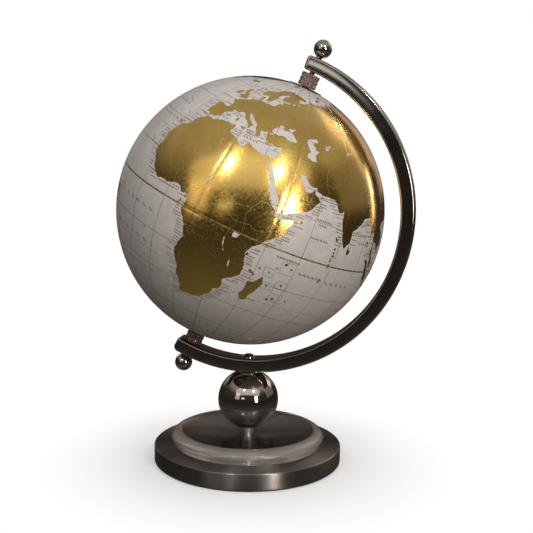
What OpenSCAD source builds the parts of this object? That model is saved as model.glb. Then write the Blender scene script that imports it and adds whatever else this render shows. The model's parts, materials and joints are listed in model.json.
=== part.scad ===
// Desk globe: a printed ball turning on a tilted axle, held in a half-round arm on a weighted foot.
// Origin: centre of the underside of the foot. +Z is up. The arm lies in the XZ plane and the north
// end of the axle leans towards +X.

/* [Globe] */
// Diameter of the ball over its printed map
globe_d = 203; // [200:1:205]
// Height of the ball's centre above the table
globe_z = 196.3; // [195:0.1:200]
// Lean of the axle from upright, in degrees
tilt = 23.5; // [15:0.5:30]
// East longitude that faces the front, -Y
front_longitude = 25; // [-180:1:180]
// Wall of each moulded half shell
shell_t = 1.8; // [1.2:0.1:3]
// Thickness of the printed paper of the map
paper_t = 0.4; // [0.2:0.05:0.5]
// Layer of paste under the paper
paste_t = 0.1; // [0.05:0.05:0.2]
// Latitude where the map's gores end and the round polar papers start
calotte_lat = 74.5; // [70:0.5:78]
// Width of the band over the joint of the half shells
tape_w = 1; // [0.6:0.1:3]

/* [Axle] */
// Diameter of the axle rod
axle_d = 4; // [3:0.5:5]
// Radial running clearance of what turns on the axle
running_gap = 0.05; // [0.02:0.01:0.09]
// Radius of the plates over the poles
cap_r = 13; // [11:0.5:16]
// Diameter of the ribbed sleeves
sleeve_d = 14; // [10:0.5:16]
// Length of the upper sleeve, which leaves a gap to the arm
top_sleeve_l = 9.9; // [8:0.1:10.5]
// Length of the lower sleeve, which fills its space
bottom_sleeve_l = 11; // [9:0.1:11.1]
// Radius of the ball nuts on the ends of the axle
finial_r = 6.8; // [5:0.1:8]

/* [Arm] */
// Inner radius of the arm
arm_inner_r = 113.8; // [113:0.1:115]
// Thickness of the arm along its radius
arm_t = 10.7; // [9:0.1:12]
// Width of the arm from front to back
arm_w = 16.6; // [14:0.1:22]
// Rounding of the arm's long edges
arm_edge_r = 1.8; // [1:0.1:3]
// Rounding of the corners of the arm's ends
arm_end_r = 3; // [2.2:0.1:4]
// Length of the arm beyond the axle at its upper end
arm_beyond_top = 6.5; // [6:0.1:12]
// Length of the arm beyond the axle at its lower end
arm_beyond_bottom = 11; // [6:0.1:12]

/* [Stand] */
// Radius of the metal foot
base_r = 73; // [68:0.5:80]
// Height of the top of the foot above the table
base_h = 14.2; // [13:0.1:18]
// Wall of the pressed shell of the foot
base_wall = 1.2; // [1:0.1:1.4]
// Thickness of the felt pad
felt_t = 2; // [1.5:0.1:2.5]
// Thickness of the clear disc
clear_h = 11.2; // [10:0.1:12]
// Radius of the flat top of the clear disc
clear_top_r = 51.8; // [48:0.1:54]
// Largest radius of the clear disc
clear_max_r = 59.5; // [57:0.1:62]
// Radius of the clear disc where it meets the foot
clear_foot_r = 57; // [55:0.1:58]
// Radius of the metal ball
ball_r = 23.5; // [22:0.1:24]
// Wall of the metal ball
ball_wall = 1.2; // [0.8:0.1:2]
// Thread diameter of the stand's two screws
screw_d = 5; // [4:0.5:6]

/* [Hidden] */
$fn = 96;
gore_count = 12;
gore_step = 360 / gore_count;
hole_gap = 0.1;          // radial gap of a hole round a screw or a rod that doesn't turn
globe_r = globe_d / 2;
paper_r = globe_r - paper_t;
shell_r = paper_r - paste_t;
shell_in_r = shell_r - shell_t;
seam_deg = 0.05;         // open seam between two gores
seam_lat = 0.1;          // open seam between the gores and a round polar paper
hoop_h = 16;
hoop_t = 1.8;
cap_t = 0.5;
cap_out_r = globe_r + cap_t;
bush_r = 4;
bush_hole_r = bush_r + 0.05;
bush_flange_r = 9;
bush_flange_t = 1.6;
bush_tail_l = 5;
face_gap = 0.15;         // end gap between parts that turn past each other
sleeve_start = cap_out_r + face_gap;
sleeve_ribs = 3;
sleeve_groove = 0.55;
arm_outer_r = arm_inner_r + arm_t;
arm_mid_r = (arm_inner_r + arm_outer_r) / 2;
neck_r = 3;
finial_axial = arm_outer_r + finial_r + 0.7;
axle_half_l = arm_outer_r + 4.6;
arm_low_z = globe_z - arm_outer_r;
spot_r = 5.4;
spot_z = globe_z - arm_inner_r + 0.12;
head_r = 4.7;
head_h = 2.7;
head_cross_w = 1;
head_cross_l = 5;
head_cross_depth = 1.3;
saddle_r = 8.5;
saddle_t = 1;
clear_top_z = base_h + clear_h;
clear_bore_r = 3.8;
clear_band_h = 5.2;      // height of the lower, nearly upright band of the clear disc
collar_r = 4.8;
collar_t = 0.7;
collar_spigot_r = clear_bore_r - hole_gap;
collar_top_z = clear_top_z + collar_t;
ball_top_z = arm_low_z - saddle_t;
ball_z = collar_top_z + sqrt(pow(ball_r, 2) - pow(collar_r, 2));
core_r = 4.5;
screw_r = screw_d / 2;
screw_hole_r = screw_r + hole_gap;
rim_z = 1;               // the rim of the foot stays clear of the table
base_chamfer = 0.7;
base_low_r = 1.2;
weight_r = base_r - base_wall - 0.2;
weight_top_z = base_h - base_wall;
recess_r = 12;           // recess over the felt for the head of the lower screw
recess_z = 8;
washer_r = 7;
washer_t = 1.2;
hex_af = 8;              // spanner width of the lower screw's head
hex_h = 3.6;
hex_z = recess_z - washer_t - hex_h;
arm_screw_low_z = 55;
base_screw_high_z = 44;

function two_digits(n) = n < 10 ? str("0", n) : str(n);
function arc_points(cx, cy, r, from, to, steps) =
    [for (i = [0:steps]) let (a = from + (to - from) * i / steps) [cx + r * cos(a), cy + r * sin(a)]];

// ---- Shared shapes ----

// Rectangle from [x, y] with round corners
module round_rect(x, y, w, h, r) {
    translate([x + r, y]) square([w - 2 * r, h]);
    translate([x, y + r]) square([w, h - 2 * r]);
    for (cx = [x + r, x + w - r], cy = [y + r, y + h - r]) translate([cx, cy]) circle(r);
}

// Moves a shape drawn round the polar axis into its tilted place
module on_axle() {
    translate([0, 0, globe_z]) rotate([0, tilt, 0]) children();
}

// The same for the south side, drawn as if it were the north side
module on_axle_south() {
    on_axle() rotate([180, 0, 0]) children();
}

// Half section of a spherical wall between two radii, above a height and within two cylinder radii
module wall_section(r_in, r_out, low_y, min_x, max_x) {
    intersection() {
        difference() {
            circle(r_out, $fn = 360);
            circle(r_in, $fn = 360);
        }
        translate([min_x, low_y]) square([max_x - min_x, r_out]);
    }
}

// Ring with a rectangular section
module ring(r_in, r_out, z, h) {
    difference() {
        translate([0, 0, z]) cylinder(r = r_out, h = h);
        translate([0, 0, z - 1]) cylinder(r = r_in, h = h + 2);
    }
}

// ---- Foot ----

module felt_pad() {
    color("#1c1c1e") cylinder(r = base_r - base_wall - 1, h = felt_t);
}

module base_shell() {
    color("#5d5854") rotate_extrude() polygon(concat(
        [[screw_hole_r, base_h], [screw_hole_r, weight_top_z], [base_r - base_wall, weight_top_z],
         [base_r - base_wall, rim_z]],
        arc_points(base_r - base_low_r, rim_z + base_low_r, base_low_r, -90, 0, 6),
        [[base_r, base_h - base_chamfer], [base_r - base_chamfer, base_h]]));
}

module base_weight() {
    color("#3a3a3c") difference() {
        translate([0, 0, felt_t]) cylinder(r = weight_r, h = weight_top_z - felt_t);
        translate([0, 0, felt_t - 1]) cylinder(r = recess_r, h = recess_z - felt_t + 1);
        cylinder(r = screw_hole_r, h = base_h);
    }
}

module base_washer() {
    color("#b9b9bd") ring(screw_hole_r, washer_r, recess_z - washer_t, washer_t);
}

module base_screw() {
    color("#a5a5aa") union() {
        translate([0, 0, hex_z]) cylinder(r = hex_af / sqrt(3), h = hex_h, $fn = 6);
        translate([0, 0, hex_z + hex_h - 0.5])
            cylinder(r = screw_r, h = base_screw_high_z - hex_z - hex_h + 0.5);
    }
}

// ---- Clear disc, ball and what holds them ----

module clear_disc() {
    band_z = base_h + clear_band_h;
    shoulder_w = clear_max_r - clear_top_r;
    shoulder_h = clear_h - clear_band_h;
    band_taper = [0.7, 1.2];
    color("#cfcad6", 0.4) rotate_extrude() polygon(concat(
        [[clear_bore_r, base_h], [clear_foot_r, base_h], [clear_max_r, band_z] - band_taper],
        [for (i = [0:8]) let (a = 90 * i / 8)
            [clear_top_r + shoulder_w * cos(a), band_z + shoulder_h * sin(a)]],
        [[clear_bore_r, clear_top_z]]));
}

module neck_collar() {
    color("#d8d8da") difference() {
        union() {
            translate([0, 0, base_h]) cylinder(r = collar_spigot_r, h = clear_h + 0.1);
            translate([0, 0, clear_top_z]) cylinder(r = collar_r, h = collar_t);
        }
        cylinder(r = screw_hole_r, h = collar_top_z + 1);
    }
}

module stand_ball() {
    color("#c9c6c3") difference() {
        translate([0, 0, ball_z]) sphere(ball_r);
        translate([0, 0, ball_z]) sphere(ball_r - ball_wall);
        cylinder(r = core_r + 0.05, h = arm_low_z);
        cylinder(r = ball_r, h = collar_top_z);
        translate([0, 0, ball_top_z]) cylinder(r = ball_r, h = ball_r);
    }
}

module ball_core() {
    color("#8d8d92") ring(screw_r, core_r, collar_top_z, ball_top_z - collar_top_z);
}

module arm_saddle() {
    color("#a8a5a2") difference() {
        translate([0, 0, ball_top_z]) cylinder(r = saddle_r, h = 2 * saddle_t);
        translate([0, 0, ball_top_z - 1]) cylinder(r = screw_hole_r, h = 3 * saddle_t + 1);
        translate([0, 0, globe_z]) rotate([90, 0, 0])
            cylinder(r = arm_outer_r, h = 4 * saddle_r, center = true, $fn = 360);
    }
}

module arm_screw() {
    crown_r = (pow(head_r, 2) + pow(head_h - 0.8, 2)) / (2 * (head_h - 0.8));
    color("#a9a7a4") difference() {
        union() {
            translate([0, 0, spot_z]) cylinder(r = head_r, h = 0.8);
            intersection() {
                translate([0, 0, spot_z + head_h - crown_r]) sphere(crown_r);
                translate([0, 0, spot_z + 0.8]) cylinder(r = head_r, h = head_h);
            }
            translate([0, 0, arm_screw_low_z]) cylinder(r = screw_r, h = spot_z - arm_screw_low_z + 0.5);
        }
        for (turn = [0, 90]) translate([0, 0, spot_z + head_h]) rotate([0, 0, turn + 20])
            cube([head_cross_l, head_cross_w, 2 * head_cross_depth], center = true);
    }
}

// ---- Arm ----

// Side view of the arm as a ring that is centred on +X, its ends with round corners
module arm_outline() {
    difference() {
        circle(arm_outer_r, $fn = 360);
        circle(arm_inner_r, $fn = 360);
        rotate(90 + atan(arm_beyond_top / arm_mid_r)) arm_end_waste();
        rotate(-90 - atan(arm_beyond_bottom / arm_mid_r)) mirror([0, 1]) arm_end_waste();
    }
}

// What is cut away past the end of the arm: the far side of the end line, and its two corners
module arm_end_waste() {
    r = arm_end_r;
    square([arm_outer_r + 1, arm_outer_r + 1]);
    translate([-arm_outer_r - 1, 20]) square([2 * arm_outer_r + 2, arm_outer_r]);
    for (corner = [arm_inner_r, arm_outer_r], s = [corner == arm_inner_r ? 1 : -1])
        difference() {
            translate([corner - (s > 0 ? 1 : r), -r]) square([r + 1, r + 1]);
            translate([corner + s * r, -r]) circle(r);
        }
}

module meridian_arm() {
    color("#57524e") difference() {
        translate([0, 0, globe_z]) rotate([90, 0, 0]) rotate(-tilt) intersection() {
            translate([0, 0, -arm_w]) linear_extrude(2 * arm_w) arm_outline();
            rotate_extrude($fn = 360) round_rect(arm_inner_r, -arm_w / 2, arm_t, arm_w, arm_edge_r);
        }
        on_axle() cylinder(r = axle_d / 2 + hole_gap, h = 3 * arm_outer_r, center = true);
        cylinder(r = screw_hole_r, h = globe_z);
        translate([0, 0, spot_z]) cylinder(r = spot_r, h = arm_t);
    }
}

// ---- Axle ----

module axle_rod() {
    color("#77767a") on_axle() cylinder(r = axle_d / 2, h = 2 * axle_half_l, center = true);
}

module finial() {
    color("#b5ada2") difference() {
        union() {
            translate([0, 0, finial_axial]) sphere(finial_r);
            translate([0, 0, arm_outer_r]) cylinder(r = neck_r, h = finial_axial - arm_outer_r);
        }
        translate([0, 0, arm_outer_r - 1]) cylinder(r = axle_d / 2, h = axle_half_l - arm_outer_r + 1.5);
    }
}

module top_finial() { on_axle() finial(); }
module bottom_finial() { on_axle_south() finial(); }

// Sleeve with round ribs, loose on the axle
module ribbed_sleeve(l) {
    pitch = l / sleeve_ribs;
    rib_r = pitch / 2;
    color("#6d4f63", 0.6) translate([0, 0, sleeve_start]) rotate_extrude() {
        translate([axle_d / 2 + running_gap, 0])
            square([sleeve_d / 2 - sleeve_groove - axle_d / 2 - running_gap, l]);
        for (i = [0:sleeve_ribs - 1]) intersection() {
            translate([sleeve_d / 2 - rib_r, (i + 0.5) * pitch]) circle(rib_r);
            translate([sleeve_d / 2 - rib_r, i * pitch]) square([rib_r, pitch]);
        }
    }
}

module top_sleeve() { on_axle() ribbed_sleeve(top_sleeve_l); }
module bottom_sleeve() { on_axle_south() ribbed_sleeve(bottom_sleeve_l); }

// ---- Ball of the globe ----

module hemisphere_shell() {
    color("#d9d4cc") rotate_extrude() wall_section(shell_in_r, shell_r, 0, bush_hole_r, shell_r);
}

module north_hemisphere() { on_axle() hemisphere_shell(); }
module south_hemisphere() { on_axle_south() hemisphere_shell(); }

module equator_hoop() {
    color("#8f7a5e") on_axle() rotate_extrude() intersection() {
        wall_section(shell_in_r - paste_t - hoop_t, shell_in_r - paste_t, -hoop_h / 2, 1, shell_r);
        translate([0, -hoop_h / 2]) square([shell_r, hoop_h]);
    }
}

module equator_tape() {
    color("#8d6f35") on_axle() rotate_extrude($fn = 360)
        translate([paper_r, -tape_w / 2]) square([paper_t + 0.05, tape_w]);
}

// Half gore number i, whose middle is at longitude (i - 1) * gore_step on the north side
module gore(i, mirrored) {
    middle = (i - 1) * gore_step - front_longitude - 90;
    start = middle - gore_step / 2 + seam_deg / 2;
    color("#cdc8c4") rotate([0, 0, start]) mirror([0, 0, mirrored ? 1 : 0])
        rotate_extrude(angle = gore_step - seam_deg)
            wall_section(paper_r, globe_r, tape_w / 2 + 0.02, globe_r * cos(calotte_lat), globe_r);
}

module calotte() {
    color("#cdc8c4") rotate_extrude()
        wall_section(paper_r, globe_r, 1, bush_hole_r, globe_r * cos(calotte_lat) - seam_lat);
}

module north_calotte() { on_axle() calotte(); }
module south_calotte() { on_axle_south() calotte(); }

module pole_cap() {
    color("#9b9894") rotate_extrude() wall_section(globe_r + 0.02, cap_out_r, 1, bush_hole_r, cap_r);
}

module north_pole_cap() { on_axle() pole_cap(); }
module south_pole_cap() { on_axle_south() pole_cap(); }

// Flanged bush, its flange glued inside the shell
module pole_bush() {
    flange_top = sqrt(pow(shell_in_r, 2) - pow(bush_flange_r, 2)) - 0.05;
    nose_z = flange_top - 0.5;
    nose_top = cap_out_r - 0.1;
    color("#3f3a38") difference() {
        union() {
            translate([0, 0, flange_top - bush_tail_l]) cylinder(r = bush_r + 1, h = bush_tail_l);
            translate([0, 0, flange_top - bush_flange_t]) cylinder(r = bush_flange_r, h = bush_flange_t);
            translate([0, 0, nose_z]) cylinder(r = bush_r, h = nose_top - nose_z);
        }
        translate([0, 0, flange_top - bush_tail_l - 1]) cylinder(r = axle_d / 2 + running_gap, h = 20);
    }
}

module north_bush() { on_axle() pole_bush(); }
module south_bush() { on_axle_south() pole_bush(); }

// ---- Nodes ----

felt_pad();
base_shell();
base_weight();
base_washer();
base_screw();
clear_disc();
neck_collar();
stand_ball();
ball_core();
arm_saddle();
arm_screw();
meridian_arm();
axle_rod();
top_finial();
bottom_finial();
top_sleeve();
bottom_sleeve();
north_hemisphere();
south_hemisphere();
equator_hoop();
equator_tape();
north_calotte();
south_calotte();
north_pole_cap();
south_pole_cap();
north_bush();
south_bush();
for (i = [1:gore_count]) {
    on_axle() gore(i, false);
    on_axle() gore(i, true);
}
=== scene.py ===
import json
import math
import random

import bpy
import numpy as np
from mathutils import Matrix, Vector, geometry


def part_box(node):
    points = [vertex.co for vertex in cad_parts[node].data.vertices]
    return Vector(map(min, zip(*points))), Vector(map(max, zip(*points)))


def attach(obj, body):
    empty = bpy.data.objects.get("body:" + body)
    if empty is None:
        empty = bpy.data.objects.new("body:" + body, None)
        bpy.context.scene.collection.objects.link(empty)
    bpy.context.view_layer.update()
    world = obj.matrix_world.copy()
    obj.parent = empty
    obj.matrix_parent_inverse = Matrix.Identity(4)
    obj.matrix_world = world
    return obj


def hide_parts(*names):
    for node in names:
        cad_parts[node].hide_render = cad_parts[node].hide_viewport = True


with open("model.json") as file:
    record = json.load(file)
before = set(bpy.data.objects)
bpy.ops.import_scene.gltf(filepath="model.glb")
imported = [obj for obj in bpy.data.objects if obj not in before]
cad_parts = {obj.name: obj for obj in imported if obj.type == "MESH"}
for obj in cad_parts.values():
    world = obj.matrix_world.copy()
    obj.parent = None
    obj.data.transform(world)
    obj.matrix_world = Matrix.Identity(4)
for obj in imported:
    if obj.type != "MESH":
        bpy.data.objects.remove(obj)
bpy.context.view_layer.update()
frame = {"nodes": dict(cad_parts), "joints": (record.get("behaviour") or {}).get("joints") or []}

MM = 0.001
SPIN = next(joint for joint in frame["joints"] if joint["name"] == "globe_spin")
CENTRE = Vector(SPIN["pos_m"])
AXIS = Vector(SPIN["axis"])
TILT = math.atan2(AXIS.x, AXIS.z)
POLAR = Matrix.Translation(CENTRE) @ Matrix.Rotation(TILT, 4, "Y")
POLAR_SOUTH = POLAR @ Matrix.Rotation(math.pi, 4, "X")
UPRIGHT = Matrix.Identity(4)

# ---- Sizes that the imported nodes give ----

TAPE_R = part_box("equator_tape")[1].y
GLOBE_R = TAPE_R - 0.05 * MM
PAPER_T = 0.4 * MM
FRONT_LONGITUDE = 25
GORES = 12
GORE_STEP = 360 / GORES
GORE_LOW_LAT = 0.294
GORE_HIGH_LAT = 74.5
CALOTTE_LAT = 74.56
SEAM_DEG = 0.05
MM_PER_DEG = math.radians(1) * GLOBE_R / MM

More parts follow.
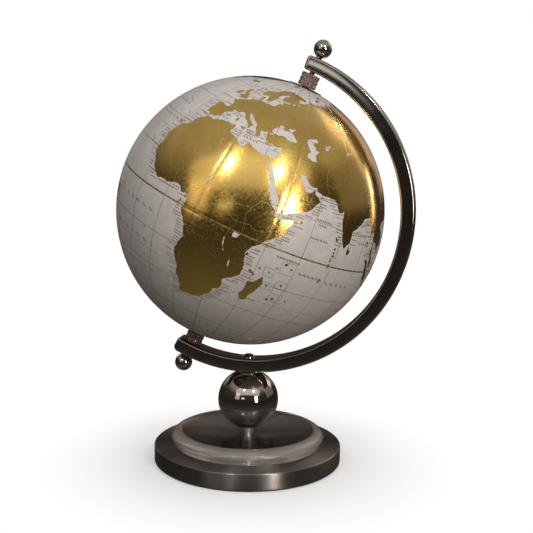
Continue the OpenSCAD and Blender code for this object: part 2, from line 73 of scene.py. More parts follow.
# Outlines of the land, each a closed ring of east longitude,north latitude in degrees
CONTINENTS = """
    32.3,31.2 31,31.5 29.9,31.1 28,31 25.2,31.6 23.2,32.2 21.7,32.9 20.1,32.3 20,31 19,30.3 17,30.9
    15.3,32.3 13.2,32.9 11.2,33.2 10.1,34.2 10.7,35.2 10.5,36.4 11,36.9 9.8,37.3 7.5,37 4.8,36.9 3,36.8
    0,35.9 -2,35.1 -5.3,35.8 -6,35.6 -6.8,34.1 -8.5,33.3 -9.8,31.5 -9.7,29.8 -11.5,28.2 -13,27.8
    -14.5,26.2 -16,23.8 -17,21 -16.3,19.5 -16.2,17.8 -16.5,16 -17.5,14.7 -16.8,13.2 -16.7,12.3 -15,11
    -13.6,9.5 -13.2,8.4 -12.5,7.4 -11,6.5 -9.3,5.3 -7.6,4.4 -5.5,5.1 -3.2,5.1 -2,4.8 0,5.6 1.2,6.1
    3.4,6.4 4.6,6.2 5.4,5.1 6,4.3 7.5,4.5 8.8,4.6 9.7,4 9.8,2.8 9.5,1 9.4,-0.2 8.8,-0.8 9.6,-2.4 11,-3.9
    12.2,-5.9 13.2,-8.8 13.9,-11 12.6,-13.5 11.8,-16.5 11.9,-18.1 13.4,-20.9 14.5,-22.9 14.9,-25.5
    15.3,-27.2 16.5,-28.6 17.3,-30.4 18.3,-31.9 17.9,-32.8 18.4,-34.2 19.6,-34.7 20.5,-34.5 22.1,-34.1
    24.8,-34.1 25.7,-33.9 27.9,-33 29.6,-31.4 31,-29.9 32.4,-28.5 32.9,-26.9 32.7,-25.9 35.2,-24.6
    35.5,-22.5 34.8,-20 36.5,-18.6 38.5,-17 40.5,-15.2 40.7,-12.5 40.4,-10.5 39.5,-8.5 39.3,-7 38.8,-6
    39.2,-4.7 40.2,-2.7 41.6,-1.7 43.5,0.6 45.4,2.1 48,4.5 49.5,7 51,10.4 51.3,11.9 48.9,11.3 46.5,10.7
    44.2,10.5 43.2,11.5 43.2,12.4 42.3,13.4 40.5,14.7 39.5,15.6 38.6,18 37.4,19 37.2,21 35.6,23.5 35,25
    33.9,26.9 33.2,28 32.5,29.3 32.4,30 32.7,29.7 33.3,28.6 34.2,27.8 34.8,29.5 35,29.5 34.8,28.1
    35.5,28 36.6,25.9 38.5,23.5 39.1,21.5 40.8,19.5 42.5,16.8 42.9,14.8 43.4,12.7 45,12.8 47.5,13.5
    49.2,14.5 52.2,15.6 55,17 57,18.8 57.8,20.2 59.8,22.5 58.6,23.6 56.8,24.4 56.4,26.2 55.5,25.5
    54.3,24.3 52.6,24.2 51.6,24.5 51.6,25.8 51.2,26.1 50.8,25 50.1,26.5 48.8,28 48,29.5 48.8,30.2
    50.2,30.1 51,28.8 52.6,27.5 54.5,26.6 56.8,27.1 57.1,25.9 58.8,25.5 61.6,25.1 64.5,25.2 66.5,25.3
    67,24.6 68.2,23.6 69.2,22.3 70.3,20.9 72.2,21.2 72.5,22.2 72.8,20.8 72.8,19 73.4,16.5 74.4,14.5
    75.2,12 76.3,9.8 77.5,8.1 78.2,8.8 79,10.1 79.9,10.4 80.2,13.1 80.1,15.2 81.3,16.2 82.3,16.7
    84.5,18.6 86.5,20.2 87,21.4 88.5,21.7 90.5,22.3 91.8,22.3 92.4,20.8 94,18.9 94.4,16 95.5,15.8 97,17
    97.7,16.2 98,14 98.6,11.8 98.4,9.5 98.3,8 99.8,6.4 100.4,5 101.3,2.9 103.5,1.3 104.2,2 103.4,4.2
    102.2,6.2 100.6,7.2 99.8,9.3 99.2,11 100,13.3 101,12.7 102.5,12 103.5,10.6 104.8,8.7 106.7,10.2
    109.1,11.8 109.2,13.8 108.3,16.1 106.4,18 105.8,19.2 106.8,20.8 108.2,21.6 109.7,21.5 110.2,20.4
    111,21.5 114.2,22.4 116.7,23.3 118.2,24.5 119.7,26 121.5,28.5 122,30 121.5,31.5 120.8,32.8
    119.3,34.9 120.8,36.2 122.5,37 120.8,37.8 118.9,37.5 117.8,38.9 119.5,39.8 121,40.7 121.4,39
    122.2,39.5 124.3,39.9 125.2,38.5 126.6,37.3 126.4,34.7 127.8,34.7 129.2,35.3 129.4,37 127.6,39.2
    129.7,41 130.8,42.4 132.3,43.3 135.2,44.2 138,46.5 140.4,49.5 140.8,52.5 141.3,53.2 139,54.2
    135.5,54.8 139.5,57.2 143,59.3 148.5,59.4 153,59.2 155.5,60.5 160,61.8 163.5,62.5 163,60.5 160,59.2
    156.8,57.8 155.7,55 156.5,51.2 158.3,52.8 160,54.2 162.2,56 163,58 166,60 170.5,60 175,61.8
    179.3,62.8 177.5,64.7 181,65 187,64.4 190,66 184.5,67.2 180,69 176,69.8 170.5,69.8 161,69.6 160,70.3
    152.5,71 140,72.5 131,71.1 128,73 120,73 113.5,73.7 110,74 113,75.8 104.3,77.7 98,76.2 88,75.2
    81,73.6 80.5,72.2 77.5,72.3 73,71.4 74.5,68.5 72.5,66.6 72,69 71.5,72.8 69.5,73 67,71 66.7,69
    68.5,68.3 64.8,69.2 60.5,69.7 60,68.5 54,68.4 48.5,67.7 46,68.2 44,68.4 44.2,66.3 40,64.7 36.5,64
    34.8,64.5 33,66.5 38,66.2 41,66.6 40.5,67.7 36,69 33,69.4 30,69.7 26,71 21,70 16,68.6 13,66 10.5,64
    8,63.3 5.2,62 5,60.5 5.6,58.9 7,58 9.5,58.9 10.6,59.4 11.4,58.6 12.5,56.2 13,55.4 14.3,55.5 16,56.4
    16.8,58.5 18.8,59.8 17.2,61 17.8,62.6 21.5,64.5 22.2,65.8 25.3,65 21.5,63 21.4,61 22.8,59.9 26,60.4
    29.8,60 27.5,59.5 23.5,59.2 24.4,57.3 22.6,57.6 21.1,56.7 21,55.3 19.8,54.4 16.5,54.4 14,54 11,54
    9.9,55 10.6,57.6 8.2,56.9 8.3,55 8.8,53.9 7,53.5 4.8,53 3.8,51.5 1.6,50.9 0.2,49.6 -1.6,49.7
    -1.6,48.7 -4.7,48.5 -2.5,47.3 -1.2,46 -1.3,44.3 -1.8,43.4 -4,43.5 -8,43.8 -9.2,43 -8.8,41 -9.4,38.8
    -8.9,37 -6.9,37.2 -6.2,36.4 -5.6,36.1 -4.4,36.7 -2.2,36.8 -0.7,37.7 0.1,38.8 -0.3,39.6 0.8,40.9
    3.2,41.9 3.2,43.2 5,43.3 6.5,43.1 8.8,44.4 10.2,43.9 11.2,42.4 12.4,41.6 14.2,40.8 15.7,40 16,38.7
    15.7,37.9 16.6,38.6 17.1,39.3 16.9,40.4 18.2,39.9 18.5,40.3 17.2,41 16.1,41.8 14.4,42.4 13.6,43.6
    12.3,44.5 12.4,45.4 13.7,45.7 13.8,44.9 15,44.3 16.2,43.5 18.3,42.5 19.5,41.6 19.4,40.4 20.3,39.3
    21.2,38.3 21.3,37.6 22,36.6 23.1,36.6 22.8,37.5 24,37.8 23.2,38.8 22.9,39.7 22.8,40.5 24,40.1
    25.8,40.9 26.4,40.5 26.2,39.5 26.8,38.4 27.4,37 28.3,36.7 29.2,36.3 30.6,36.8 32.3,36.1 34,36.3
    36.1,36.8 35.8,35.4 35.9,34.3 35.1,33 34.6,31.7 34.2,31.3 ; -168,65.6 -164,66.5 -166.5,68.4
    -163,69.5 -156.5,71.3 -141,69.7 -135,69 -128,70.5 -120,69.5 -114,68 -108,68.2 -102,67.8 -95,69.5
    -94,72 -90,69 -85.5,69.5 -81.5,68.5 -86,66.5 -88,64 -93.5,62 -94.7,59 -92.5,57 -85,55.3 -82.3,53
    -80,51.3 -78.8,52.5 -79.5,54.8 -76.8,57.5 -78.5,59 -77.5,62.4 -73.5,62.3 -69.5,61 -68,58.5
    -64.5,60.2 -61.5,57 -57.5,54.5 -55.7,52 -60,50.2 -66.5,50.2 -69,48.5 -64.4,49 -65,47.5 -61,45.5
    -63.8,44.5 -66,43.6 -67,45 -70,43.7 -70.8,42.3 -70,41.6 -74,40.6 -75.8,38 -76,36.5 -75.5,35.2
    -78,33.9 -81.2,31.5 -81.3,29 -80.2,26.5 -80.9,25.2 -82,27 -82.8,28.8 -84.2,30 -86,30.3 -89.5,30.2
    -89.3,29.1 -91.5,29.5 -94.8,29.4 -97.2,27.7 -97.6,24.5 -97.6,22 -96,19 -94.5,18.2 -91.5,18.6
    -90.4,21 -87,21.5 -87.6,19 -88.3,16.5 -86,15.9 -83.3,15 -83.6,11.5 -82,9 -79.6,9.5 -77.4,8.6
    -75.5,10.5 -74.8,11.1 -71.7,12.4 -71.5,11 -70,12 -68,10.6 -64.5,10.2 -62,10.7 -60.8,8.8 -57.5,6.2
    -54,5.8 -51.6,4.3 -50,1.8 -50.5,0 -48.2,-0.8 -44.3,-2.5 -41.3,-2.9 -38.5,-3.7 -35.3,-5.2 -34.8,-7.5
    -35.5,-9.5 -37.5,-11.8 -39,-13.5 -39,-17.5 -40,-20 -41.8,-22.8 -44.5,-23.1 -46.8,-24.3 -48.5,-26
    -48.7,-28.5 -50.8,-31 -53.5,-34 -56.5,-34.9 -58.3,-34 -57,-36.2 -57.6,-38.1 -62,-39 -62.3,-40.9
    -65,-41 -64,-42.6 -65.3,-45 -67.5,-46.2 -65.8,-47.8 -68.5,-50.5 -69,-52.3 -65.2,-54.7 -68.5,-55.3
    -72,-54 -74.8,-52 -75.5,-49 -74.5,-46 -73.5,-42 -73.7,-39 -73,-36.5 -71.6,-33 -71.5,-30 -70.4,-25
    -70.3,-18.4 -76,-14 -77.2,-12 -79.8,-7.5 -81.3,-5 -80,-3.2 -81,-1.5 -80,0.8 -78.6,2 -77.2,4
    -77.5,6.5 -78.2,8 -79.7,8.8 -80.3,7.4 -81.7,7.5 -83.6,8.5 -85.7,10 -87.5,12.8 -91.5,14 -94.5,16.2
    -98.5,16.4 -102,18 -105.6,20 -105.5,22 -108.5,25.3 -112,29 -114.7,31.6 -114.5,30 -112,27 -110.5,24.2
    -109.7,23 -112.2,25.8 -114.5,28 -115.8,30.2 -117.2,32.7 -118.5,34 -120.6,34.6 -122.5,37.5
    -124.3,40.4 -124,44.5 -124.6,48.3 -122.8,49 -125.5,50.5 -128,52 -130.5,54.8 -133.5,57.5 -136.5,58.5
    -140,59.8 -146,60.8 -151,59.5 -152,61 -154.5,58.5 -158,56.5 -163.5,54.9 -160,56.2 -157.5,58.7
    -162,58.8 -165.5,61.5 -161.5,64 -164.5,64.5 ; -73,78.2 -68,80.2 -60,82 -45,82.8 -30,83.5 -21,82.2
    -12,81.5 -18.5,79 -19,76.5 -22,73.5 -24,70.5 -32,68.3 -38,65.8 -41,63 -43.5,60 -48,61 -52,64.5
    -53.5,67.5 -51,70 -55,72.5 -59,75.7 -68,76.2 ; -61.5,66.5 -68,70.2 -76,72.8 -85,73.7 -89.5,71 -80,70
    -73,66 -78,64.5 -72,63.3 -66,62 -68,64.5 ; -117,70.5 -114,73 -105,73 -101.5,69.8 -108,68.8 -115,69.2
    ; -90,77 -88,80 -90,82 -70,83 -62,82.4 -75,79 -80,76.3 ; -125,72 -123,74.3 -116,73.3 -120,71.5 ;
    -59.3,47.7 -57,51 -55.5,51.5 -53,48 -53.5,46.7 -56,47 ; -84.9,21.9 -82,23.1 -77,21.5 -74.2,20.2
    -77.5,19.9 -78.5,21 ; -74.4,18.5 -73,19.9 -69.8,19.6 -68.4,18.5 -71,17.8 ; -24,65.5 -22.5,66.3
    -16,66.4 -13.7,65 -18.5,63.4 -22.7,63.9 -22,64.8 ; -5.3,50.1 -3,51.3 -5.2,51.8 -4.4,52.8 -3,53.9
    -4.9,54.8 -6,56.5 -5.3,58.4 -3.1,58.6 -2,57.5 -3,56.1 -1.6,55.2 0.2,53.3 1.7,52.6 1.3,51.2 -1.5,50.7
    ; -10,51.7 -9.8,54 -8.3,55.2 -6,55.1 -6,53 -6.5,52.2 ; 11,55.2 12.5,56 12.2,55 ; 18.2,57 19,57.9
    18.6,57.2 ; 11,79.3 15,80 27,80 21,78.5 17,76.7 14,77.8 ; 52,70.8 54.5,73 60,76 68.5,76.9 61,75
    57,73 57.5,70.7 ; 95,79.2 98,80.8 105,78.8 100,77.9 ; 138,75.5 143,75.9 150,75 142,73.5 ; 141.9,46
    142.1,49 142,53 143.2,54 143.4,51.5 144.6,49 142.9,47 ; 140,41.5 140.3,43.2 141.8,45.4 143.5,44.2
    145.5,43.3 143.3,42 ; 131,34 132.7,35.5 136,35.8 136.9,37.4 138.7,37.5 140,39.5 140.5,41.2
    141.5,41.3 142,39.5 140.9,38 140.8,35.8 139,34.8 137,34.6 135.8,33.6 135,34.6 132.4,34.2 ;
    132.3,33.5 134.4,34.3 134.3,33.4 133,32.8 ; 130,33.5 131.8,33.5 131.4,31.4 130.2,31.3 129.8,32.8 ;
    120.1,23 121.5,25.2 121,22.1 ; 108.7,19.2 110,20.1 111,19.6 109.6,18.2 ; 120.3,16 120.7,18.5
    122.2,18.4 121.6,16 124,13 121,13.7 ; 122.1,10.6 123.2,11.6 125.5,12.3 125,10.2 123,9.2 ; 122,7
    123.5,8.7 125.5,9.8 126.5,7.5 125.5,5.8 124,6.5 ; 109,1.5 111.3,2.5 113,3.2 115,5 117,7 119.2,5.2
    117.8,3 119,1 117.5,-1 116,-4 114.5,-4 112,-3.4 110,-2 109,0 ; 95.3,5.6 97.5,5.2 100.3,2.8
    103.6,-0.5 106,-3 105.8,-5.8 104.5,-5.8 101,-3 98.7,1.5 ; 105.2,-6.8 106.2,-5.9 108.5,-6.7
    110.8,-6.4 112.7,-7 114.5,-7.8 114.4,-8.7 110,-8 ; 119.5,-5.5 118.9,-2.8 120,0.8 123,1 125,1.6
    124,0.4 120.5,0.2 120.5,-0.9 123.3,-0.8 121.7,-1.8 122.8,-4 121,-2.8 120.4,-5.5 ; 123.5,-10.3
    127,-8.4 125,-9.5 ; 131,-0.8 134,-0.8 135,-3.3 137.8,-1.6 141,-2.6 144.5,-3.9 147.5,-6 147.2,-7
    150.8,-10.3 147.5,-10 144,-7.7 142.5,-9.2 138,-8.4 138.5,-6.8 135,-4.4 132.8,-4 133.8,-2.8 132,-2.2
    ; 148.5,-5.7 152,-4.2 150.5,-6.2 ; 113.7,-22.5 114.2,-21.8 116.8,-20.6 119,-20 121.5,-19 122.3,-17.2
    123.6,-17.2 125,-15.3 126.9,-13.9 129.4,-15 130.8,-12.4 132.6,-11.5 135,-12.2 136.9,-12.3 135.5,-15
    138.5,-16.7 140.8,-17.5 141.7,-14.5 142.5,-10.8 143.8,-14.4 145.4,-15 146.3,-18.9 149,-20.5
    150.8,-23.3 153.1,-25.5 153.6,-28.6 152.5,-32.4 150.8,-34.6 150,-37.3 146.5,-39 144,-38.2 140.5,-38
    138.2,-35.6 138,-33.2 136,-34.8 134.2,-32.8 131,-31.5 126,-32.3 124,-33.2 120,-34 117.8,-35.1
    115.1,-34.3 115.7,-31.7 113.8,-26.5 113.4,-24.2 ; 144.7,-40.8 148.2,-40.9 147.8,-43.2 146,-43.5 ;
    172.7,-34.5 175.3,-36.8 178.4,-37.7 177,-39.5 175.3,-41.6 174,-39.4 174.6,-38 173.5,-35.5 ;
    172.7,-40.6 174.3,-41.7 172.7,-43.5 171,-45.6 168.8,-46.6 166.5,-46 168.3,-44 171,-42.5 ; 49.3,-12
    50.4,-15.5 49.5,-18 47.2,-24.8 45,-25.5 43.4,-22.8 44.4,-20 44.2,-16.5 46.5,-15.7 48,-13.8 ; 79.8,8
    80.2,9.7 81.8,7.5 81,6 80.1,6.1 ; 12.5,38 15.6,38.2 15.1,36.8 13.5,37.2 ; 8.3,39 8.3,40.9 9.6,41
    9.5,39.2 ; 8.7,41.7 8.7,42.6 9.4,43 9.4,41.6 ; 23.6,35.4 26.2,35.3 24,35.1 ; 32.4,34.8 34.4,35.6
    33.6,34.8 ; -180,-78 -165,-78.3 -158,-77 -150,-76.5 -135,-74.5 -120,-73.8 -103,-73 -90,-72.7 -80,-73
    -73,-72 -68,-68 -63,-65 -57,-63.3 -60,-65.5 -62,-70 -61,-74.5 -65,-77 -50,-77.8 -35,-77.8 -26,-76
    -18,-73 -10,-71.2 0,-70 15,-69.8 33,-69 40,-69.5 50,-66.8 57,-66.8 68,-68 73,-69.8 80,-68 90,-66.8
    110,-66.3 130,-66.3 145,-67 160,-69.5 171,-71.5 165,-75 163,-77.8 180,-78 180,-90 -180,-90
"""

# Inland seas and lakes, in the same form
LAKES = """
    28.9,41.3 28,42 27.6,42.6 28.6,43.8 29.7,45.2 31,46.6 32.8,46.1 32.6,45.4 33.5,44.5 35.4,45.1
    36.5,45.3 35,46.3 37.5,47 39.2,47.2 38,46.2 37.5,45.2 38.9,44.3 41.5,42.2 41.3,41.4 38.5,41
    36.5,41.2 35,42 33.3,42 31.3,41.3 ; 27.3,40.8 28.8,41 29.3,40.7 28,40.4 27.2,40.5 ; 47,45.3 49,46.2
    51.5,46.9 53,46.7 53.2,45.4 51.3,45.2 50.5,44.3 52.5,42.8 52.5,41.7 54.7,41.8 53,39.9 53.9,37
    51.5,36.7 49,37.6 48.8,39 50.3,40.4 48.5,42 47.5,43.2 ; 58.3,44.4 58.5,45.9 59.6,45.6 60.5,46.6
    61.8,46.2 60.5,44.4 58.8,43.7 ; 31.7,-0.2 33.2,0.4 34.2,-0.3 33.5,-2 31.7,-2.2 ; 29.3,-3.4 29.8,-6
    31,-8.7 30.4,-8.4 29.3,-6.2 29,-3.9 ; 34,-9.6 34.6,-11.5 34.9,-13.9 34.4,-13.8 34.2,-11.5 ;
    103.8,51.6 106,52.5 108.5,54 109.8,55.6 109.2,55.6 107.7,53.8 105,52 ; 30.9,60 31,61.4 32.8,61
    32.4,60.2 ; 34.6,61.4 35.2,62.5 36.2,61.3 ; 73.8,45.4 74.4,46.5 79,46.6 76,46.2 74.5,45.2 ; -92,46.7
    -88.5,48.8 -85,47.8 -84.6,46.5 -87.5,46.5 ; -87.8,42.2 -86.3,42.5 -85.2,45 -86.9,45.7 -88,44.4 ;
    -84.3,45.9 -80.8,45.8 -80,44.6 -81.7,43.3 -83.4,44.2 ; -83.3,41.8 -79.1,42.8 -80.5,42 -82.5,41.4 ;
    -79.7,43.3 -76.5,44.1 -76.3,43.5 -79,43.2 ; -98.5,50.5 -99,53.7 -97.7,53.7 -96.5,50.7 ; -124,65.3
    -122,66.8 -118,66 -121.5,65 ; -117,61.2 -113.5,62.2 -109.5,62.8 -112,61.2 ; 13.3,13 14.3,14 15.2,13
"""

# Lines printed over the land, in the same form but open
BORDERS = """
    25,31.6 25,22 36.8,22 ; 11.9,23.5 14.2,22.6 16,23.4 24,19.5 24,20 25,20 25,22 ; 8.6,36.9 8.2,34.7
    7.8,33 9.5,30.2 9.9,26.5 11.9,23.5 ; 11.9,23.5 7.5,20.8 4.2,19.1 3.2,19.7 1.2,21.1 -4.8,25 ; -4.8,25
    -8.7,27.3 -8.7,28.7 -5.2,30 -3.6,31.4 -1.2,32.2 -1.8,34.8 ; -8.7,27.3 -8.7,26 -12,26 -12,23.4
    -13,21.3 -17,21 ; -4.8,25 -6.5,25 -5.5,16 -11,15.3 -12.2,14.8 ; -16.5,16 -14,16.5 -12.2,14.8
    -11.4,12.4 -16.7,12.4 ; -11.4,12.4 -8.5,11 -8.3,7.6 -7.5,4.4 ; -13.2,9 -10.7,9.3 -10.3,8.5 -11.5,6.9
    ; -3.1,5.1 -2.8,9.6 -2.9,11 ; 1.2,6.1 0.5,8 0.1,11 ; -5.5,10.4 -2.9,11 0.1,11 2.4,12 0.2,15
    -2.5,14.2 -4.5,12.3 -5.5,10.4 ; 2.7,6.4 2.7,9 3.6,11.7 ; 3.6,11.7 4.1,13.5 7,13 10,13.3 13.6,13.7 ;
    8.8,4.7 9.7,6.5 11.5,7 13,9.5 14.2,12.4 13.6,13.7 ; 13.6,13.7 15.5,16.9 15,23 ; 24,19.5 24,15.7
    22.2,13 22.9,11 24,8.7 ; 15.5,7.5 18.6,8 22.9,11 ; 14.5,5 16.2,2.2 18.5,4.3 22.4,4.1 27.4,5.1 ;
    24,8.7 27.4,5.1 ; 9.8,2.3 13.3,2.2 16.2,2.2 ; 11.1,-3.9 14.4,-2 14,1.4 13.3,2.2 ; 12.2,-5.8
    13.1,-4.6 15.3,-4.3 16.2,-2 17.7,-0.5 18.5,4.3 ; 12.3,-6 16.6,-5.9 17,-8 21.8,-7.3 22,-11 24,-11
    24,-13 22,-13 22,-16.2 23.4,-17.6 18,-17.4 11.8,-17.2 ; 24,-11 27.2,-12 29.8,-13.4 28.4,-11.8
    28.6,-8.5 30.8,-8.3 ; 30.8,-8.3 29.4,-6 29.2,-3 29.6,-1.4 29.8,0.6 31.2,2.2 30.9,3.5 27.4,5.1 ;
    30.9,3.5 34,4.2 34.5,1 33.9,-1 ; 29.6,-1.4 30.5,-1 33.9,-1 37.7,-3.1 39.2,-4.7 ; 34,4.2 35.9,4.6
    38,3.6 41.9,4 41,2.8 41,-0.9 41.5,-1.7 ; 41.9,4 45,5 48,8 44,9 42.8,10.6 ; 34,4.2 33,7.8 34.1,10.6
    36.4,14.3 36.9,16.3 38.6,18 ; 36.4,14.3 39,14.6 42.4,12.5 ; 24,8.7 26.5,9.5 30,10 33,10.5 34.1,10.6
    ; 40.4,-10.5 37.5,-11.7 34.6,-11.6 ; 25.3,-17.8 27,-17.9 30.4,-15.6 33,-14 ; 30.4,-15.6 33,-16.8
    32.8,-20 31.3,-22.4 ; 25.3,-17.8 23.4,-17.6 21,-18.3 21,-22 20,-22 20,-24.8 20.8,-26.9 22.7,-25.5
    25.8,-25.7 29.4,-22.2 ; 20,-24.8 20,-28.4 16.5,-28.6 ; 29.4,-22.2 31.3,-22.4 32,-26 32.9,-26.9 ;
    42.8,16.4 45.2,17.4 48.2,18.2 52,19 53.1,16.7 ; 52,19 55,20 55.7,22 55.2,22.7 ; 48,29.5 46.6,29.1
    44.7,29.2 42,31.1 39.2,32.1 37,31.5 36,29.2 35,29.4 ; 39.2,32.1 38.8,33.4 41,34.4 42.4,37.1
    36.7,36.8 36,35.9 ; 48.5,30 46,33 45.4,35.8 44.8,37.2 44.8,39.7 48,39.7 48.9,38.4 ; 54,37.4
    57.3,38.2 61.2,36.6 60.9,34.3 61,31.5 60.9,29.8 63.2,27.2 61.6,25.2 ; 60.9,29.8 66.3,29.8 66.6,31.2
    69.3,31.9 71,34 71.5,36.3 74.9,37.2 ; 68.2,23.7 71,24.5 70,27.8 73.9,30 75.3,32.5 74,34.7 77.8,35.5
    ; 77.8,35.5 79,32.5 81,30.2 85.5,28 88.1,27.9 92,27.8 97.3,28.2 ; 49,46.3 47,48.3 47.5,50.4
    51.5,51.5 55,51 61.5,51 61.5,53.9 69,55.3 73.5,54 77,53.3 80,50.8 87,49.2 ; 87,49.2 82.5,45.5
    80.2,42.2 ; 53,42 56,45 58.5,45.6 62,43.5 66,42.4 68.5,40.8 71,42.3 80.2,42.2 ; 56,41.3 60,42.2
    62.5,40 66.5,37.4 68,37 71.5,36.7 ; 87,49.2 98,50.5 107,49.5 116,50 120,46.7 111.9,44 105,41.6
    96.4,42.8 91,45.2 87,49.2 ; 116,50 120,53 126,52.8 130.8,48.9 135,48.3 131,44.9 130.7,42.4 ;
    -1.8,43.4 3.2,42.4 ; 2.5,51 6,49.5 8.2,49 7.6,47.6 7,45.9 7.5,43.8 ; 14.3,53.9 14.8,51 12.2,50.3
    13,48.4 7.6,47.6 ; 19.8,54.4 23.5,54 23.6,51.5 24,50.4 22.2,49 ; 31.8,52.1 35.5,50.4 40,49.6
    38.2,47.1 ; 28.9,69 30,67.7 29.6,64.9 31.5,62.9 27.8,60.5 ; 11.2,59 12.2,61 12,63.3 14.5,66 18,68.5
    20.5,69 25.7,69.7 28.9,69 ; 41.5,41.5 43.5,41.1 44.8,39.7 ; 13.7,45.6 16.5,46.5 19,45.9 22.4,44.6
    22.5,42.3 26.3,41.7 26,40.8 ; -123,49 -95.2,49 -89,48 -83.5,46 -82.5,42.5 -79,43.2 -75,45 -71.5,45
    -69.2,47.4 -67,45 ; -141,69.6 -141,60.2 -135,59 -130,55 ; -117,32.6 -111,31.3 -106.5,31.8
    -104.5,29.6 -101.5,29.8 -97.2,25.9 ; -51.6,4.2 -54.5,2.3 -60,4.5 -64,4 -64,1.5 -67,1.2 -69.8,1
    -69.9,-4.3 -73.5,-7 -70.6,-9.5 -69.6,-11 -65.3,-10 -65.3,-12 -60.2,-13.8 -60.2,-16.3 -57.7,-18
    -58,-22 -54.3,-24 -53.7,-27.2 -57.6,-30.2 -53.4,-33.7 ; -69,-52.1 -72,-51 -72,-46 -71.5,-40 -70,-33
    -68.3,-26.5 -67,-22.8 ; -69.5,-17.5 -69.6,-11 ; -67,-22.8 -62.7,-22.2 -62.3,-20 -58.2,-19.8 ;
    -71.3,11.9 -72.5,8.5 -67.5,6.2 -67,1.2 ; -78.8,1.4 -75.3,0 -70,-4.2 ; 129,-15 129,-31.6 ; 138,-16.6
    138,-26 129,-26 ; 138,-26 141,-26 141,-38 ; 141,-29 153.5,-28.3 ; 141,-34 150,-37.4
"""


# ---- Materials ----

# Most of a noise lies between these two values
NOISE_LOW, NOISE_HIGH = 0.3, 0.7


def new_material(name, sockets):
    """A node material whose shader has these fixed values.

    Returns the material, its nodes, its links and its shader.
    """
    material = bpy.data.materials.new(name)
    material.use_nodes = True
    nodes = material.node_tree.nodes
    shader = nodes["Principled BSDF"]
    for socket, value in sockets.items():
        shader.inputs[socket].default_value = value
    return material, nodes, material.node_tree.links, shader


def add_noise(nodes, links, place, scale, detail=3.0, rough=0.5):
    """Noise of the given scale per metre."""
    noise = nodes.new("ShaderNodeTexNoise")
    noise.inputs["Scale"].default_value = scale
    noise.inputs["Detail"].default_value = detail
    noise.inputs["Roughness"].default_value = rough
    links.new(place, noise.inputs["Vector"])
    return noise.outputs["Fac"]


def blend_tones(nodes, links, factor, tones):
    """Colour that wanders between two tones with a noise."""
    ramp = nodes.new("ShaderNodeValToRGB")
    for stop, position, tone in zip(ramp.color_ramp.elements, (0.35, 0.65), tones):
        stop.position = position
        stop.color = (*tone, 1)
    links.new(factor, ramp.inputs["Fac"])
    return ramp.outputs["Color"]


def span(nodes, links, factor, low, high):
    """Maps a noise on to the range from low to high."""
    ranged = nodes.new("ShaderNodeMapRange")
    ranged.inputs["From Min"].default_value = NOISE_LOW
    ranged.inputs["From Max"].default_value = NOISE_HIGH
    ranged.inputs["To Min"].default_value = low
    ranged.inputs["To Max"].default_value = high
    links.new(factor, ranged.inputs["Value"])
    return ranged.outputs["Result"]


def combined(nodes, links, operation, *inputs):
    """Result of one maths node on its inputs."""
    node = nodes.new("ShaderNodeMath")
    node.operation = operation
    for socket, value in zip(node.inputs, inputs):
        links.new(value, socket)
    return node.outputs["Value"]


def bumped(nodes, links, heights, normal_socket):
    """Stacks bump maps. Each height is its noise output and its depth in metres."""
    below = None
    for factor, depth in heights:
        bump = nodes.new("ShaderNodeBump")
        bump.inputs["Strength"].default_value = 1.0
        bump.inputs["Distance"].default_value = depth
        links.new(factor, bump.inputs["Height"])
        if below:
            links.new(below, bump.inputs["Normal"])
        below = bump.outputs["Normal"]
    links.new(below, normal_socket)


def textured(name, tones, scale, roughness, bumps, **sockets):
    """Material whose tone and roughness wander with one noise, with finer noises as bumps.

    bumps is a list of (scale per metre, depth in metres, detail); sockets are fixed shader values.
    """
    fixed = {key.replace("_", " "): value for key, value in sockets.items()}
    material, nodes, links, shader = new_material(name, fixed)
    place = nodes.new("ShaderNodeTexCoord").outputs["Object"]
    wander = add_noise(nodes, links, place, scale)
    links.new(blend_tones(nodes, links, wander, tones), shader.inputs["Base Color"])
    links.new(span(nodes, links, wander, *roughness), shader.inputs["Roughness"])
    heights = []
    for bump_scale, depth, detail in bumps:
        heights.append((add_noise(nodes, links, place, bump_scale, detail), depth))
    bumped(nodes, links, heights, shader.inputs["Normal"])
    return material


